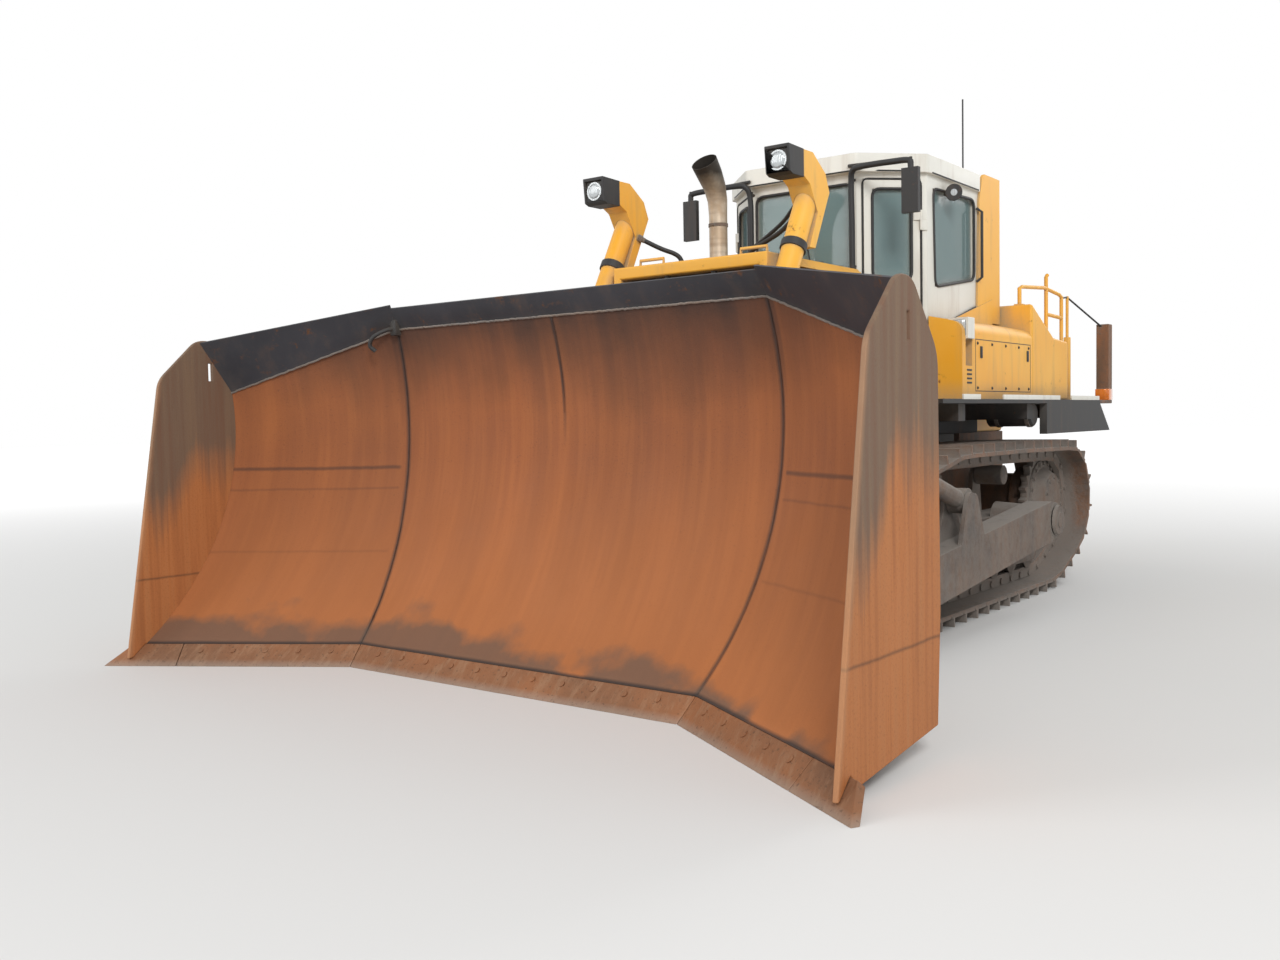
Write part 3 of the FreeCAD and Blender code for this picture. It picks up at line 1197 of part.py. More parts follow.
# Roll bar behind the cab
post_front, post_back = d.cab_rear + 5, d.cab_rear + 165
post = block("post", ("cab_half - post_width", "pod_inner"), (f"{post_front}", f"{post_back}"),
             ("pod_top + 70", "roof_top + 20"))
pillar = extrude("pillar", "yz", f"cab_half + {link_gap}", "pod_inner", outline([
    (pillar_front, fender_height(pillar_front) + link_gap),
    (d.cab_rear, fender_height(d.cab_rear) + link_gap),
    (d.cab_rear, d.pod_top + 70), (post_back, d.pod_top + 70), (post_back, d.roof_top + 20, 60),
    (pillar_front + 110, d.roof_top + 20, 60), (pillar_front + 40, d.roof_bottom - 60)]))
cross = block("cross", ("-cab_half + post_width", "cab_half - post_width"),
              (f"{post_front}", f"{post_back}"),
              ("roof_top - 120", "roof_top + 20"))
antenna = prism("antenna_rod", 6, 4, (550, d.cab_rear + 80, d.roof_top), (550, d.cab_rear + 80, 3930))
side_frame = joined("side_frame", post, pillar)
node("roll_bar", joined("roll_bar_parts", side_frame, mirrored("right_side_frame", side_frame), cross,
                        antenna))

# Rails, lamps and small things on the body
rail_x = d.pod_outer - 120
rail_front, rail_middle, rail_end = d.pod_rear + 50, d.pod_rear + 690, d.tank_rear - 60


def rail_bar(name, sides, thickness, start, end):
    return prism(name, sides, f"{thickness} / 2", (rail_x, *start), (rail_x, *end))


past_post = 28
rail_height = d.tank_top + d.rail_rise
rail_bars = [rail_bar(name, 6, "rail_thickness", (front - past_post, low), (rear + past_post, high))
             for name, front, low, rear, high in (
                 ("rail_top", rail_front, rail_height - 50, rail_middle, rail_height),
                 ("rail_rear", rail_middle, rail_height - 9, rail_end, rail_height - 45),
                 ("rail_between", rail_middle, rail_height - 220, rail_end, rail_height - 230))]
rail_posts = [rail_bar(name, 8, "post_thickness", (station, foot), (station, top))
              for name, station, foot, top in (
                  ("rail_post_front", rail_front, d.tank_top - 70, rail_height - 30),
                  ("rail_post_middle", rail_middle, d.pod_top - 60, rail_height + 110),
                  ("rail_post_rear", rail_end, d.pod_top - 60, rail_height))]
hand_rail_cage = joined("hand_rail_parts", *rail_posts, *rail_bars)
both("hand_rails", cut("hand_rails_seated", hand_rail_cage, tank_shaped))
both("pod_lamps", front_lamp)
mirror_arm = prism("mirror_arm", 6, 12, (405, 3222, 3150), (900, 3160, 3120))
mirror_stem = prism("mirror_stem", 6, 12, (900, 3160, 3132), (900, 3160, 3050))
mirror_head = block("mirror_head", ("840", "960"), ("3140", "3180"), ("2760", "3060"))
stay_x, stay_y = d.cab_nose_half - 14, d.cab_front - 40
mirror_stay = prism("mirror_stay", 8, 15, (stay_x, stay_y, d.sill_height + 60),
                    (stay_x, stay_y, d.roof_bottom - 30))
stay_feet = [prism(f"stay_foot_{index}", 6, 11, (stay_x, stay_y - 4, height),
                   (stay_x, d.cab_front - link_gap, height))
             for index, height in enumerate((d.sill_height + 75, d.roof_bottom - 50))]
both("mirrors", cut("mirrors_seated", joined("mirror_parts", mirror_arm, mirror_stem, mirror_head), roof),
     joined("mirror_stay_parts", mirror_stay, *stay_feet))
lamp_face = Vector(0.42, -0.9, -0.12).normalize()
roof_lamp_spot = Vector(d.cab_half + d.roof_lamp_radius + 12, d.roof_lamp_station, d.roof_lamp_height)
roof_lamp = prism("roof_lamp", 12, "roof_lamp_radius", roof_lamp_spot - lamp_face * 45,
                  roof_lamp_spot + lamp_face * 30)
roof_lamp_foot = block("roof_lamp_foot", (f"cab_half + {link_gap}", "cab_half + roof_lamp_radius"),
                       ("roof_lamp_station - 16", "roof_lamp_station + 16"),
                       ("roof_lamp_height - 16", "roof_lamp_height + 16"))
both("roof_lamps", joined("roof_lamp_parts", roof_lamp, roof_lamp_foot))
rear_post = block("rear_post_bar", ("deck_outer - 110", "deck_outer"), ("rear_reach - 110", "rear_reach"),
                  ("deck_height", "2180"))
rear_foot = block("rear_post_foot", ("deck_outer - 130", "deck_outer"), ("deck_rear", "rear_reach"),
                  ("deck_height - deck_plate", "deck_height"))
node("rear_post", joined("rear_post_parts", rear_post, rear_foot))

# Check and write every piece
doc.recompute()
for item in doc.Objects:
    if "Invalid" in item.State or "Error" in item.State:
        raise RuntimeError(f"{item.Name} failed: {item.State}")
os.makedirs("parts", exist_ok=True)
for item in nodes:
    shape = item.Shape
    if shape.isNull() or not shape.isValid() or not shape.Solids:
        raise RuntimeError(f"{item.Label} has no sound shape")
    if len(shape.Solids) == 1:
        shape = shape.Solids[0]
    shape.exportStep(f"parts/{item.Label}.step")
    box = shape.BoundBox
    spans = ((box.XMin, box.XMax), (box.YMin, box.YMax), (box.ZMin, box.ZMax))
    print(f"{item.Label}: {len(shape.Solids)} solids, box",
          ", ".join(f"{low:.0f} {high:.0f}" for low, high in spans))
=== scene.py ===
# Dresses the crawler bulldozer: worn paint, rust, dust, glass, lamps, hoses, bolts and seat.
# Metres, in the CAD's own frame: the machine faces -Y, its left side is +X and +Z is up.
import json
import math

import bmesh
import bpy
from mathutils import Matrix, Vector
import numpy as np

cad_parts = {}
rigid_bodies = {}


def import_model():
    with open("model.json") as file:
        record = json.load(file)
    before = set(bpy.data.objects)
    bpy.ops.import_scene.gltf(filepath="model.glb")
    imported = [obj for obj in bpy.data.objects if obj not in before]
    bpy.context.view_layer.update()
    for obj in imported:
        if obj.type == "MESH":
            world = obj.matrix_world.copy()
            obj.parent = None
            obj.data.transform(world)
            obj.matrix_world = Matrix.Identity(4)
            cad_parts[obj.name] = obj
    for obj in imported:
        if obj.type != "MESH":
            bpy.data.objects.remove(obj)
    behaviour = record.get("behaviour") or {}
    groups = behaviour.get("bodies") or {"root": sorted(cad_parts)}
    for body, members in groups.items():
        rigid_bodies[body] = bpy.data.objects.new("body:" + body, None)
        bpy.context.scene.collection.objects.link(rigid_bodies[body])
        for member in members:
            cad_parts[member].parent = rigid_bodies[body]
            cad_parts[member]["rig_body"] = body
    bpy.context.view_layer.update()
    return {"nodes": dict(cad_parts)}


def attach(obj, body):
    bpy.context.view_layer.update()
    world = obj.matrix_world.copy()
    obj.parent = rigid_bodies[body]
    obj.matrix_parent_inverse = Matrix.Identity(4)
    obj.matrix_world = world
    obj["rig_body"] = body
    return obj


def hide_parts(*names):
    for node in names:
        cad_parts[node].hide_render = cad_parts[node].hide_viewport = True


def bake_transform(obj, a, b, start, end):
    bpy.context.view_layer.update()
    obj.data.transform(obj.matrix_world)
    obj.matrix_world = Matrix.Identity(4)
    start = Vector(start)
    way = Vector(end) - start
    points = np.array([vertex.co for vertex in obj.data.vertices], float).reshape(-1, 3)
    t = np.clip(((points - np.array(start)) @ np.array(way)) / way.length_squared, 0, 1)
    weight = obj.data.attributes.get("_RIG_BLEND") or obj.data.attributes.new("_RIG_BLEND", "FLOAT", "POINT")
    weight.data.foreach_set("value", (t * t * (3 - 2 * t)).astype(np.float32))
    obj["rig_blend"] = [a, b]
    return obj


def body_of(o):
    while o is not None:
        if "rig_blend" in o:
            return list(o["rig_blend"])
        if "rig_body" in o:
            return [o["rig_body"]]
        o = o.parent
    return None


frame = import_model()
nodes = frame["nodes"]
scene = bpy.context.scene
scene.view_settings.view_transform = "Standard"
print("frame loaded:", len(nodes), "nodes")

# Stations are measured back from the middle of the cutting edge, which stands here in the frame
datum = -2.98406
flanks = ((1, "left"), (-1, "right"))
upward, forward, leftward = (0, 0, 1), (0, -1, 0), (1, 0, 0)


def at(x, station, z):
    return Vector((x, station + datum, z))


def placeOf(spot):
    # a Vector is in the frame already, a plain triple is x, station and height
    return spot if isinstance(spot, Vector) else at(*spot)


def flipped(points, side=-1):
    return [Vector((point.x * side, point.y, point.z)) for point in map(placeOf, points)]


def placed(name, data):
    made = bpy.data.objects.new(name, data)
    scene.collection.objects.link(made)
    return made


def frozen(holder):
    # the mesh that an object has once its modifiers have run
    graph = bpy.context.evaluated_depsgraph_get()
    return bpy.data.meshes.new_from_object(holder.evaluated_get(graph), depsgraph=graph)


# The photograph is 1280 by 960 pixels; its lens and place were worked out from the blade's lines
camera = {
    "place": (4.289, -7.308, 1.4025), "lensPixels": 1176.18, "frameWidth": 1280, "sensor": 36.0,
    "yaw": 37.43, "pitch": 2.951, "roll": -1.046, "sees": 200,
}


def makeCamera():
    yaw, pitch, roll = (math.radians(camera[key]) for key in ("yaw", "pitch", "roll"))
    ahead = Vector((-math.sin(yaw) * math.cos(pitch), math.cos(yaw) * math.cos(pitch), -math.sin(pitch)))
    level = Vector((math.cos(yaw), math.sin(yaw), 0))
    above = level.cross(ahead)
    right = level * math.cos(roll) + above * math.sin(roll)
    up = above * math.cos(roll) - level * math.sin(roll)
    data = bpy.data.cameras.new("photoCamera")
    data.sensor_width = camera["sensor"]
    data.lens = camera["sensor"] * camera["lensPixels"] / camera["frameWidth"]
    data.clip_end = camera["sees"]
    eye = placed("photoCamera", data)
    turn = Matrix((right, up, -ahead)).transposed().to_4x4()
    eye.matrix_world = Matrix.Translation(camera["place"]) @ turn
    scene.camera = eye


makeCamera()
print("camera placed")


def operator(operation, turned=False):
    return lambda one, other: one.math(operation, *((other, one) if turned else (one, other)))


# Shader arithmetic: a Field is one output socket of a material's tree
class Field:
    def __init__(self, tree, socket):
        self.tree = tree
        self.socket = socket

    def math(self, operation, *values, clamp=False):
        node = self.tree.nodes.new("ShaderNodeMath")
        node.operation = operation
        node.use_clamp = clamp
        for slot, value in zip(node.inputs, values):
            plug(self.tree, slot, value)
        return Field(self.tree, node.outputs[0])

    __add__, __radd__ = operator("ADD"), operator("ADD", turned=True)
    __sub__, __rsub__ = operator("SUBTRACT"), operator("SUBTRACT", turned=True)
    __mul__, __pow__, atLeast = operator("MULTIPLY"), operator("POWER"), operator("MAXIMUM")

    def size(self):
        return self.math("ABSOLUTE", self)

    def clamped(self):
        return self.math("ADD", self, 0, clamp=True)

    def above(self, edge, soft):
        # 0 below the edge, 1 above it, over a soft width
        return self.math("MULTIPLY_ADD", self, 1 / soft, 0.5 - edge / soft, clamp=True)

    def below(self, edge, soft):
        return self.math("MULTIPLY_ADD", self, -1 / soft, 0.5 + edge / soft, clamp=True)


def plug(tree, slot, value):
    if isinstance(value, Field):
        tree.links.new(value.socket, slot)
    elif slot.type == "RGBA" and len(value) == 3:
        slot.default_value = (*value, 1)
    else:
        slot.default_value = value


def addNode(tree, kind, settings=None, **sockets):
    node = tree.nodes.new(kind)
    for key, value in (settings or {}).items():
        setattr(node, key, value)
    for key, value in sockets.items():
        plug(tree, node.inputs[key.replace("_", " ")], value)
    return {out.name: Field(tree, out) for out in node.outputs if out.enabled}


class Finish:
    # one material and the nodes that it is made of
    def __init__(self, name, **surface):
        self.material = bpy.data.materials.new(name)
        self.material.use_nodes = True
        self.tree = self.material.node_tree
        self.surface = self.tree.nodes["Principled BSDF"]
        self.place = self.node("ShaderNodeTexCoord")["Object"]
        axes = self.node("ShaderNodeSeparateXYZ", Vector=self.place)
        self.x, self.y, self.z = axes["X"], axes["Y"], axes["Z"]
        for slot, value in surface.items():
            self.feed(slot, value)

    def feed(self, slot, value):
        plug(self.tree, self.surface.inputs[slot.replace("_", " ")], value)

    def node(self, kind, settings=None, **sockets):
        return addNode(self.tree, kind, settings, **sockets)

    def noise(self, scale, stretch=(1, 1, 1), detail=4, rough=0.55):
        place = self.node("ShaderNodeMapping", Vector=self.place, Scale=stretch)["Vector"]
        return self.node("ShaderNodeTexNoise", Vector=place, Scale=scale, Detail=detail,
                         Roughness=rough)["Fac"]

    def wave(self, axis, scale):
        return self.node("ShaderNodeTexWave", {"bands_direction": axis}, Vector=self.place,
                         Scale=scale)["Fac"]

    def mix(self, share, first, second):
        node = self.tree.nodes.new("ShaderNodeMix")
        node.data_type = "RGBA"
        for slot, value in zip((0, 6, 7), (share, first, second)):
            plug(self.tree, node.inputs[slot], value)
        return Field(self.tree, node.outputs[2])

    def layers(self, colour, *coats):
        # each coat is its share and its tone, laid over what is there
        for share, tone in coats:
            colour = self.mix(share, colour, tone)
        return colour

    def creviced(self, reach):
        # 1 deep in corners, 0 on open faces
        return 1 - self.node("ShaderNodeAmbientOcclusion", {"samples": 6}, Distance=reach)["AO"]

    def facingUp(self, edge, soft):
        facing = self.node("ShaderNodeNewGeometry")["Normal"]
        return self.node("ShaderNodeSeparateXYZ", Vector=facing)["Z"].above(edge, soft)

    def bump(self, height, strength, depth):
        self.feed("Normal", self.node("ShaderNodeBump", Height=height, Strength=strength,
                                      Distance=depth)["Normal"])

    def close(self, colour, rough, *relief):
        # relief is the bump's height, strength and depth
        self.feed("Base Color", colour)
        self.feed("Roughness", rough)
        if relief:
            self.bump(*relief)
        return self.material


# Paint that has worked outdoors: faded patches, dust in the corners, scratches, chips and rust
paints = {
    # name, fresh paint, faded paint, rust, dust, where chips begin, share of dirt, roughness
    "yellow": ("yellowPaint", (0.88, 0.4, 0.022), (0.92, 0.5, 0.075), (0.24, 0.08, 0.022),
               (0.42, 0.33, 0.22), 0.66, 0.75, 0.42),
    "white": ("whitePaint", (0.8, 0.79, 0.73), (0.72, 0.7, 0.62), (0.24, 0.1, 0.04),
              (0.44, 0.38, 0.3), 0.72, 0.4, 0.38),
    "black": ("blackPaint", (0.014, 0.014, 0.015), (0.03, 0.028, 0.027), (0.12, 0.05, 0.022),
              (0.15, 0.125, 0.1), 0.66, 0.45, 0.55),
    "dark": ("darkPlate", (0.012, 0.013, 0.018), (0.035, 0.036, 0.045), (0.11, 0.05, 0.025),
             (0.16, 0.14, 0.12), 0.62, 0.35, 0.5),
}


def wornPaint(name, fresh, faded, rust, dusty, chipEdge, dirt, rough):
    paint = Finish(name, Metallic=0.0)
    patches = paint.noise(1.3, detail=3)
    speckle = paint.noise(46, detail=5)
    streaks = paint.noise(9, (1, 1, 0.12))
    chipField = paint.noise(7, detail=8, rough=0.72) * 0.8 + speckle * 0.2
    chips = chipField.above(chipEdge, 0.02)
    halo = chipField.above(chipEdge - 0.035, 0.05)
    dust = paint.creviced(0.16) * 1.5 + paint.facingUp(0.75, 0.5) * 0.35 + streaks.above(0.6, 0.25) * 0.25
    dust = (dust * dirt * (speckle * 0.8 + 0.55)).clamped()
    colour = paint.layers(fresh, (patches.above(0.5, 0.5), faded), (streaks.above(0.66, 0.2) * 0.22, rust),
                          (dust, dusty), (halo * 0.35, rust), (chips, rust))
    return paint.close(colour, rough + patches * 0.12 + dust * 0.3 + chips * 0.3,
                       chips * -0.6 + speckle * 0.12 + patches * 0.5, 0.35, 0.004)


# Bare steel: two rusts in patches and drips, darker pits, and mud in corners and on top
steels = {
    # name, base, rust, mud, where mud begins, roughness, grain, metal
    "track": ("trackSteel", (0.13, 0.1, 0.08), (0.25, 0.12, 0.062), (0.26, 0.235, 0.21),
              0.5, 0.72, 26, 0.25),
    "dusty": ("dustySteel", (0.105, 0.09, 0.08), (0.17, 0.105, 0.07), (0.24, 0.215, 0.19),
              0.46, 0.8, 18, 0.1),
    "frame": ("frameSteel", (0.12, 0.085, 0.062), (0.24, 0.11, 0.055), (0.22, 0.19, 0.165),
              0.56, 0.76, 20, 0.1),
    "weld": ("weldSteel", (0.2, 0.18, 0.165), (0.26, 0.2, 0.16), (0.2, 0.18, 0.16),
             0.7, 0.55, 40, 0.4),
}


def dustySteel(name, base, rust, muddy, mudEdge, rough, grain, metal):
    steel = Finish(name, Metallic=metal)
    broad = steel.noise(2.1, detail=5)
    fine = steel.noise(grain, detail=8, rough=0.7)
    drips = steel.noise(12, (1, 1, 0.15))
    rusted = (broad * 0.6 + drips * 0.4).above(0.5, 0.22)
    mud = fine * 0.45 + broad * 0.35 + steel.creviced(0.12) * 0.9 + steel.facingUp(0.6, 0.5) * 0.22
    mud = mud.above(mudEdge, 0.25)
    colour = steel.layers(base, (rusted, rust), (fine.above(0.62, 0.2) * 0.5, (0.05, 0.038, 0.03)),
                          (mud * 0.85, muddy))
    return steel.close(colour, rough + mud * 0.15 - fine * 0.1,
                       fine * 0.6 + mud * 0.8 + broad * 0.4, 0.6, 0.008)


# The bowl, its cheeks and the back of the blade; stations run back from the cutting edge's middle
bladeLook = {
    "orange": (0.33, 0.098, 0.026), "bright": (0.47, 0.165, 0.048), "brown": (0.165, 0.052, 0.02),
    "cheek": (0.52, 0.2, 0.062), "grey": (0.14, 0.104, 0.074), "ochre": (0.34, 0.215, 0.105),
    "dark": (0.022, 0.017, 0.016), "dust": (0.105, 0.08, 0.062), "rubbed": (0.46, 0.25, 0.13),
    "jointAtEdge": 1.165, "jointSlope": 0.2801, "grain": 0.3, "shadedUnwornTopFrom": 1.76, "cheekGreyAbove": 1.16,
    # the height, half width and depth of each weld across the wings
    "welds": ((1.13, 0.01, 0.55), (1.00, 0.006, 0.28), (0.62, 0.005, 0.22)),
    "rib": -0.06, "plateTop": 0.115, "cheekLine": 0.5,
}


def rustField(rust, run):
    # rust that runs down the plate: soft broad streaks, finer ones over them, and a few clouds
    look, grain = bladeLook, bladeLook["grain"]
    broad = rust.noise(0.8, detail=3)
    clouds = rust.noise(3.2, detail=5)
    wide = rust.noise(3.0, (1, run, 0.12), rough=0.5)
    fine = rust.noise(17, (1, run, 0.05), rough=0.6)
    pits = rust.noise(85, detail=6, rough=0.7)
    colour = rust.layers(look["orange"], (wide.above(0.5, 0.4) * 0.65, look["brown"]),
                         ((clouds * 0.35 + broad * 0.65).above(0.55, 0.45) * 0.45, look["bright"]),
                         (fine.above(0.56, 0.34) * grain, look["brown"]),
                         (fine.below(0.4, 0.25) * grain * 0.5, look["bright"]),
                         (pits.above(0.64, 0.14) * 0.35, look["dark"]))
    rust.bump(pits * 0.55 + fine * 0.25 + clouds * 0.8, 0.4, 0.005)
    return colour, broad, clouds, wide, pits


def bowlRust():
    rust, look = Finish("bowlRust", Metallic=0.12), bladeLook
    colour, broad, clouds, wide, _ = rustField(rust, 0.12)
    wander = (clouds - 0.5) * 0.02
    joint = rust.x.size() - (rust.y - datum) * look["jointSlope"] - look["jointAtEdge"]
    wing = joint.above(0.05, 0.02)
    # the load rubs the lower half brighter
    rubbed = (rust.z + (clouds - 0.5) * 0.4).below(0.75, 0.9) * 0.55
    # the top of the bowl, under the overhanging guard, is painted near black: painted shade under the
    # overhang, on plate that the guard also keeps the load off
    top = (rust.z + (clouds - 0.5) * 0.35 + (wide - 0.5) * 0.5 + wing * -0.1).above(look["shadedUnwornTopFrom"], 0.62)
    # dark lines: the welds across the wings, the seams at the wing joints and the rib
    lines = [(rust.z - weld + wander).size().below(width, 0.012) * wing * depth
             for weld, width, depth in look["welds"]]
    lines += [(joint + wander).size().below(0.012, 0.022) * 0.88,
              (rust.x - look["rib"] + wander).size().below(0.01, 0.016) * rust.z.above(1.42, 0.35) * 0.8]
    # packed dirt along the foot, up to a ragged line, and a dark line over the edge's plate
    foot = (rust.z + (broad - 0.5) * 0.7 + (clouds - 0.5) * 0.4).below(0.2, 0.1)
    plate = (rust.z - look["plateTop"] + wander * 0.5).size().below(0.01, 0.012) * 0.85
    colour = rust.layers(colour, (rubbed, look["bright"]), (top * 0.92, look["dark"]),
                         *((line, look["dark"]) for line in lines), (foot * 0.7, look["dust"]),
                         (plate, look["dark"]))
    return rust.close(colour, 0.6 + clouds * 0.2 + foot * 0.12 + top * 0.06)


def cheekRust():
    rust, look = Finish("cheekRust", Metallic=0.12), bladeLook
    colour, _, clouds, wide, pits = rustField(rust, 1)
    runs = rust.noise(26, (1, 1, 0.03), detail=5, rough=0.6)
    fromFront = rust.y - datum + 0.7 - rust.z * 0.155
    height = rust.z + (clouds - 0.5) * 0.2 + (wide - 0.5) * 0.7 + fromFront.below(0.22, 0.2) * 0.32
    height = height + (runs - 0.5) * 0.5
    line = (rust.z - look["cheekLine"] + (clouds - 0.5) * 0.02).size().below(0.006, 0.01)
    # the front edge is rubbed bright
    front = (fromFront + (clouds - 0.5) * 0.03).below(0.02, 0.03)
    colour = rust.layers(colour, (0.62, look["cheek"]),
                         (height.above(look["cheekGreyAbove"], 0.34) * 0.9, look["grey"]),
                         (runs.above(0.58, 0.22) * 0.35, look["brown"]),
                         (runs.below(0.4, 0.2) * 0.2, look["ochre"]),
                         (pits.above(0.6, 0.16) * 0.3, look["brown"]), (line * 0.5, look["dark"]),
                         (front * 0.5, look["rubbed"]))
    return rust.close(colour, 0.62 + clouds * 0.2)


def wornEdge():
    edge = Finish("wornEdge", Metallic=0.35)
    broad = edge.noise(1.6, detail=5)
    gouges = edge.noise(24, (1, 0.25, 0.25), detail=6, rough=0.7)
    pits = edge.noise(60, detail=6)
    colour = edge.layers((0.31, 0.125, 0.05), (broad.above(0.5, 0.25), (0.205, 0.1, 0.052)),
                         (gouges.above(0.56, 0.16) * 0.45, (0.36, 0.215, 0.125)),
                         (edge.z.below(0.022, 0.03) * 0.5, (0.34, 0.29, 0.24)),
                         (pits.above(0.64, 0.1) * 0.5, (0.05, 0.03, 0.02)))
    return edge.close(colour, 0.52 + broad * 0.3, gouges + pits * 0.4, 0.6, 0.008)


def chromeRod():
    rod = Finish("chromeRod", Metallic=1.0)
    haze = rod.noise(5)
    return rod.close(rod.mix(haze.above(0.55, 0.2) * 0.5, (0.72, 0.72, 0.74), (0.42, 0.4, 0.37)),
                     0.1 + haze * 0.22)


def exhaustSteel():
    pipe = Finish("exhaustSteel", Metallic=0.55)
    patches = pipe.noise(6, detail=6)
    rings = pipe.noise(30, (0.05, 0.05, 1), detail=3)
    soot = (pipe.z + (patches - 0.5) * 0.14).above(2.97, 0.18)
    colour = pipe.layers((0.62, 0.54, 0.43), (patches.above(0.48, 0.3), (0.44, 0.34, 0.24)),
                         (rings.above(0.6, 0.2) * 0.3, (0.2, 0.13, 0.09)),
                         (soot * 0.93, (0.012, 0.011, 0.011)))
    return pipe.close(colour, 0.34 + patches * 0.25 + soot * 0.3, patches, 0.3, 0.003)


def tintedGlass():
    glass = Finish("tintedGlass", IOR=1.45)
    film = glass.noise(3.0, detail=5)
    grime = (glass.creviced(0.08) * 1.2 + film.above(0.62, 0.3) * 0.25).clamped()
    glass.feed("Alpha", 0.46 + grime * 0.35)
    glass.feed("Specular IOR Level", 0.9)
    return glass.close(glass.mix(grime, (0.17, 0.33, 0.35), (0.34, 0.34, 0.3)), 0.04 + grime * 0.3)


def plainRubber(name, tone, rough, grain=60):
    rubber = Finish(name)
    fine = rubber.noise(grain, detail=5)
    dusty = (rubber.creviced(0.05) * 0.9 + rubber.facingUp(0.7, 0.5) * 0.3) * fine
    return rubber.close(rubber.mix(dusty, tone, (0.2, 0.17, 0.14)), rough + fine * 0.15, fine, 0.25, 0.002)


def lensGlass(name, tone=(0.5, 0.53, 0.54), metal=0.45):
    lens = Finish(name, Metallic=metal, Coat_Weight=1.0)
    return lens.close(tone, 0.12, lens.wave("X", 28.0), 0.5, 0.003)


def wovenCloth():
    cloth = Finish("seatCloth")
    weave = cloth.wave("X", 150.0) * cloth.wave("Z", 150.0)
    worn = cloth.noise(7).above(0.55, 0.3) * 0.4
    colour = cloth.layers((0.022, 0.022, 0.025), (weave, (0.07, 0.07, 0.075)), (worn, (0.13, 0.12, 0.1)))
    return cloth.close(colour, 0.85 + weave * 0.1, weave, 0.4, 0.001)


# For each finish its material, the record's slot behind it and the CAD pieces that wear it
dress = {
    "yellow": (wornPaint(*paints["yellow"]), "yellow_paint",
               "radiator_guard hood left_hood_door right_hood_door cylinder_yokes left_lift_barrel "
               "right_lift_barrel left_lift_cover right_lift_cover side_pods tank roll_bar hand_rails"),
    "white": (wornPaint(*paints["white"]), "white_paint",
              "pod_lamps cab_shell left_cab_door right_cab_door cab_roof"),
    "black": (wornPaint(*paints["black"]), "black_paint",
              "grille decks cab_base mirrors left_mast_lamp right_mast_lamp roof_lamps"),
    "dark": (wornPaint(*paints["dark"]), "dark_plate", "spill_guard"),
    "track": (dustySteel(*steels["track"]), "worn_steel", "left_track right_track"),
    "dusty": (dustySteel(*steels["dusty"]), "dusty_steel",
              "sprockets idlers rollers carriers track_frames drawbar left_push_arm right_push_arm "
              "trunnion_bushes left_tilt_barrel right_tilt_barrel"),
    "frame": (dustySteel(*steels["frame"]), "dusty_steel",
              "main_frame rear_case engine blade_frame arm_ears rear_post"),
    "weld": (dustySteel(*steels["weld"]), "dusty_steel", ""),
    "bowl": (bowlRust(), "rust_plate", "moldboard"),
    "cheek": (cheekRust(), "rust_plate", "cheek_plates"),
    "edge": (wornEdge(), "rust_plate", "cutting_edges"),
    "chrome": (chromeRod(), "bright_rod", "left_lift_rod right_lift_rod left_tilt_rod right_tilt_rod"),
    "exhaust": (exhaustSteel(), "exhaust_steel", "exhaust"),
    "glass": (tintedGlass(), "clear_glass", "left_door_glass right_door_glass cab_glass"),
    "rubber": (plainRubber("blackRubber", (0.014, 0.014, 0.015), 0.5), "black_paint", ""),
    "plastic": (plainRubber("greyPlastic", (0.045, 0.045, 0.048), 0.45, 140), "grey_plastic",
                "seat_base console"),
    "lens": (lensGlass("lampLens"), "lamp", ""),
    "redLens": (lensGlass("redLens", (0.42, 0.02, 0.015), 0.1), "lamp", ""),
    "orange": (lensGlass("orangeLens", (0.75, 0.2, 0.02), 0.1), "lamp", ""),
    "cloth": (wovenCloth(), "seat_cloth", "seat"),
}
finishOf = {name: finish for finish, (_, _, names) in dress.items() for name in names.split()}
for name, finish in finishOf.items():
    nodes[name].data.materials.clear()
    nodes[name].data.materials.append(dress[finish][0])
print("finishes made:", len(dress))
print("CAD pieces dressed")


def bodyOf(name):
    rides = body_of(nodes[name])
    return rides if isinstance(rides, str) else rides[0]


def settle(name, mesh, finish, body, replaced=(), smooth=38):
    # a finished mesh becomes a piece on its body
    mesh.materials.clear()
    material, slot, _ = dress[finish]
    mesh.materials.append(material)
    mesh.shade_smooth()
    mesh.set_sharp_from_angle(angle=math.radians(smooth))
    piece = placed(name, mesh)
    if body:
        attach(piece, body)
    if replaced:
        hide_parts(*replaced)
    return piece


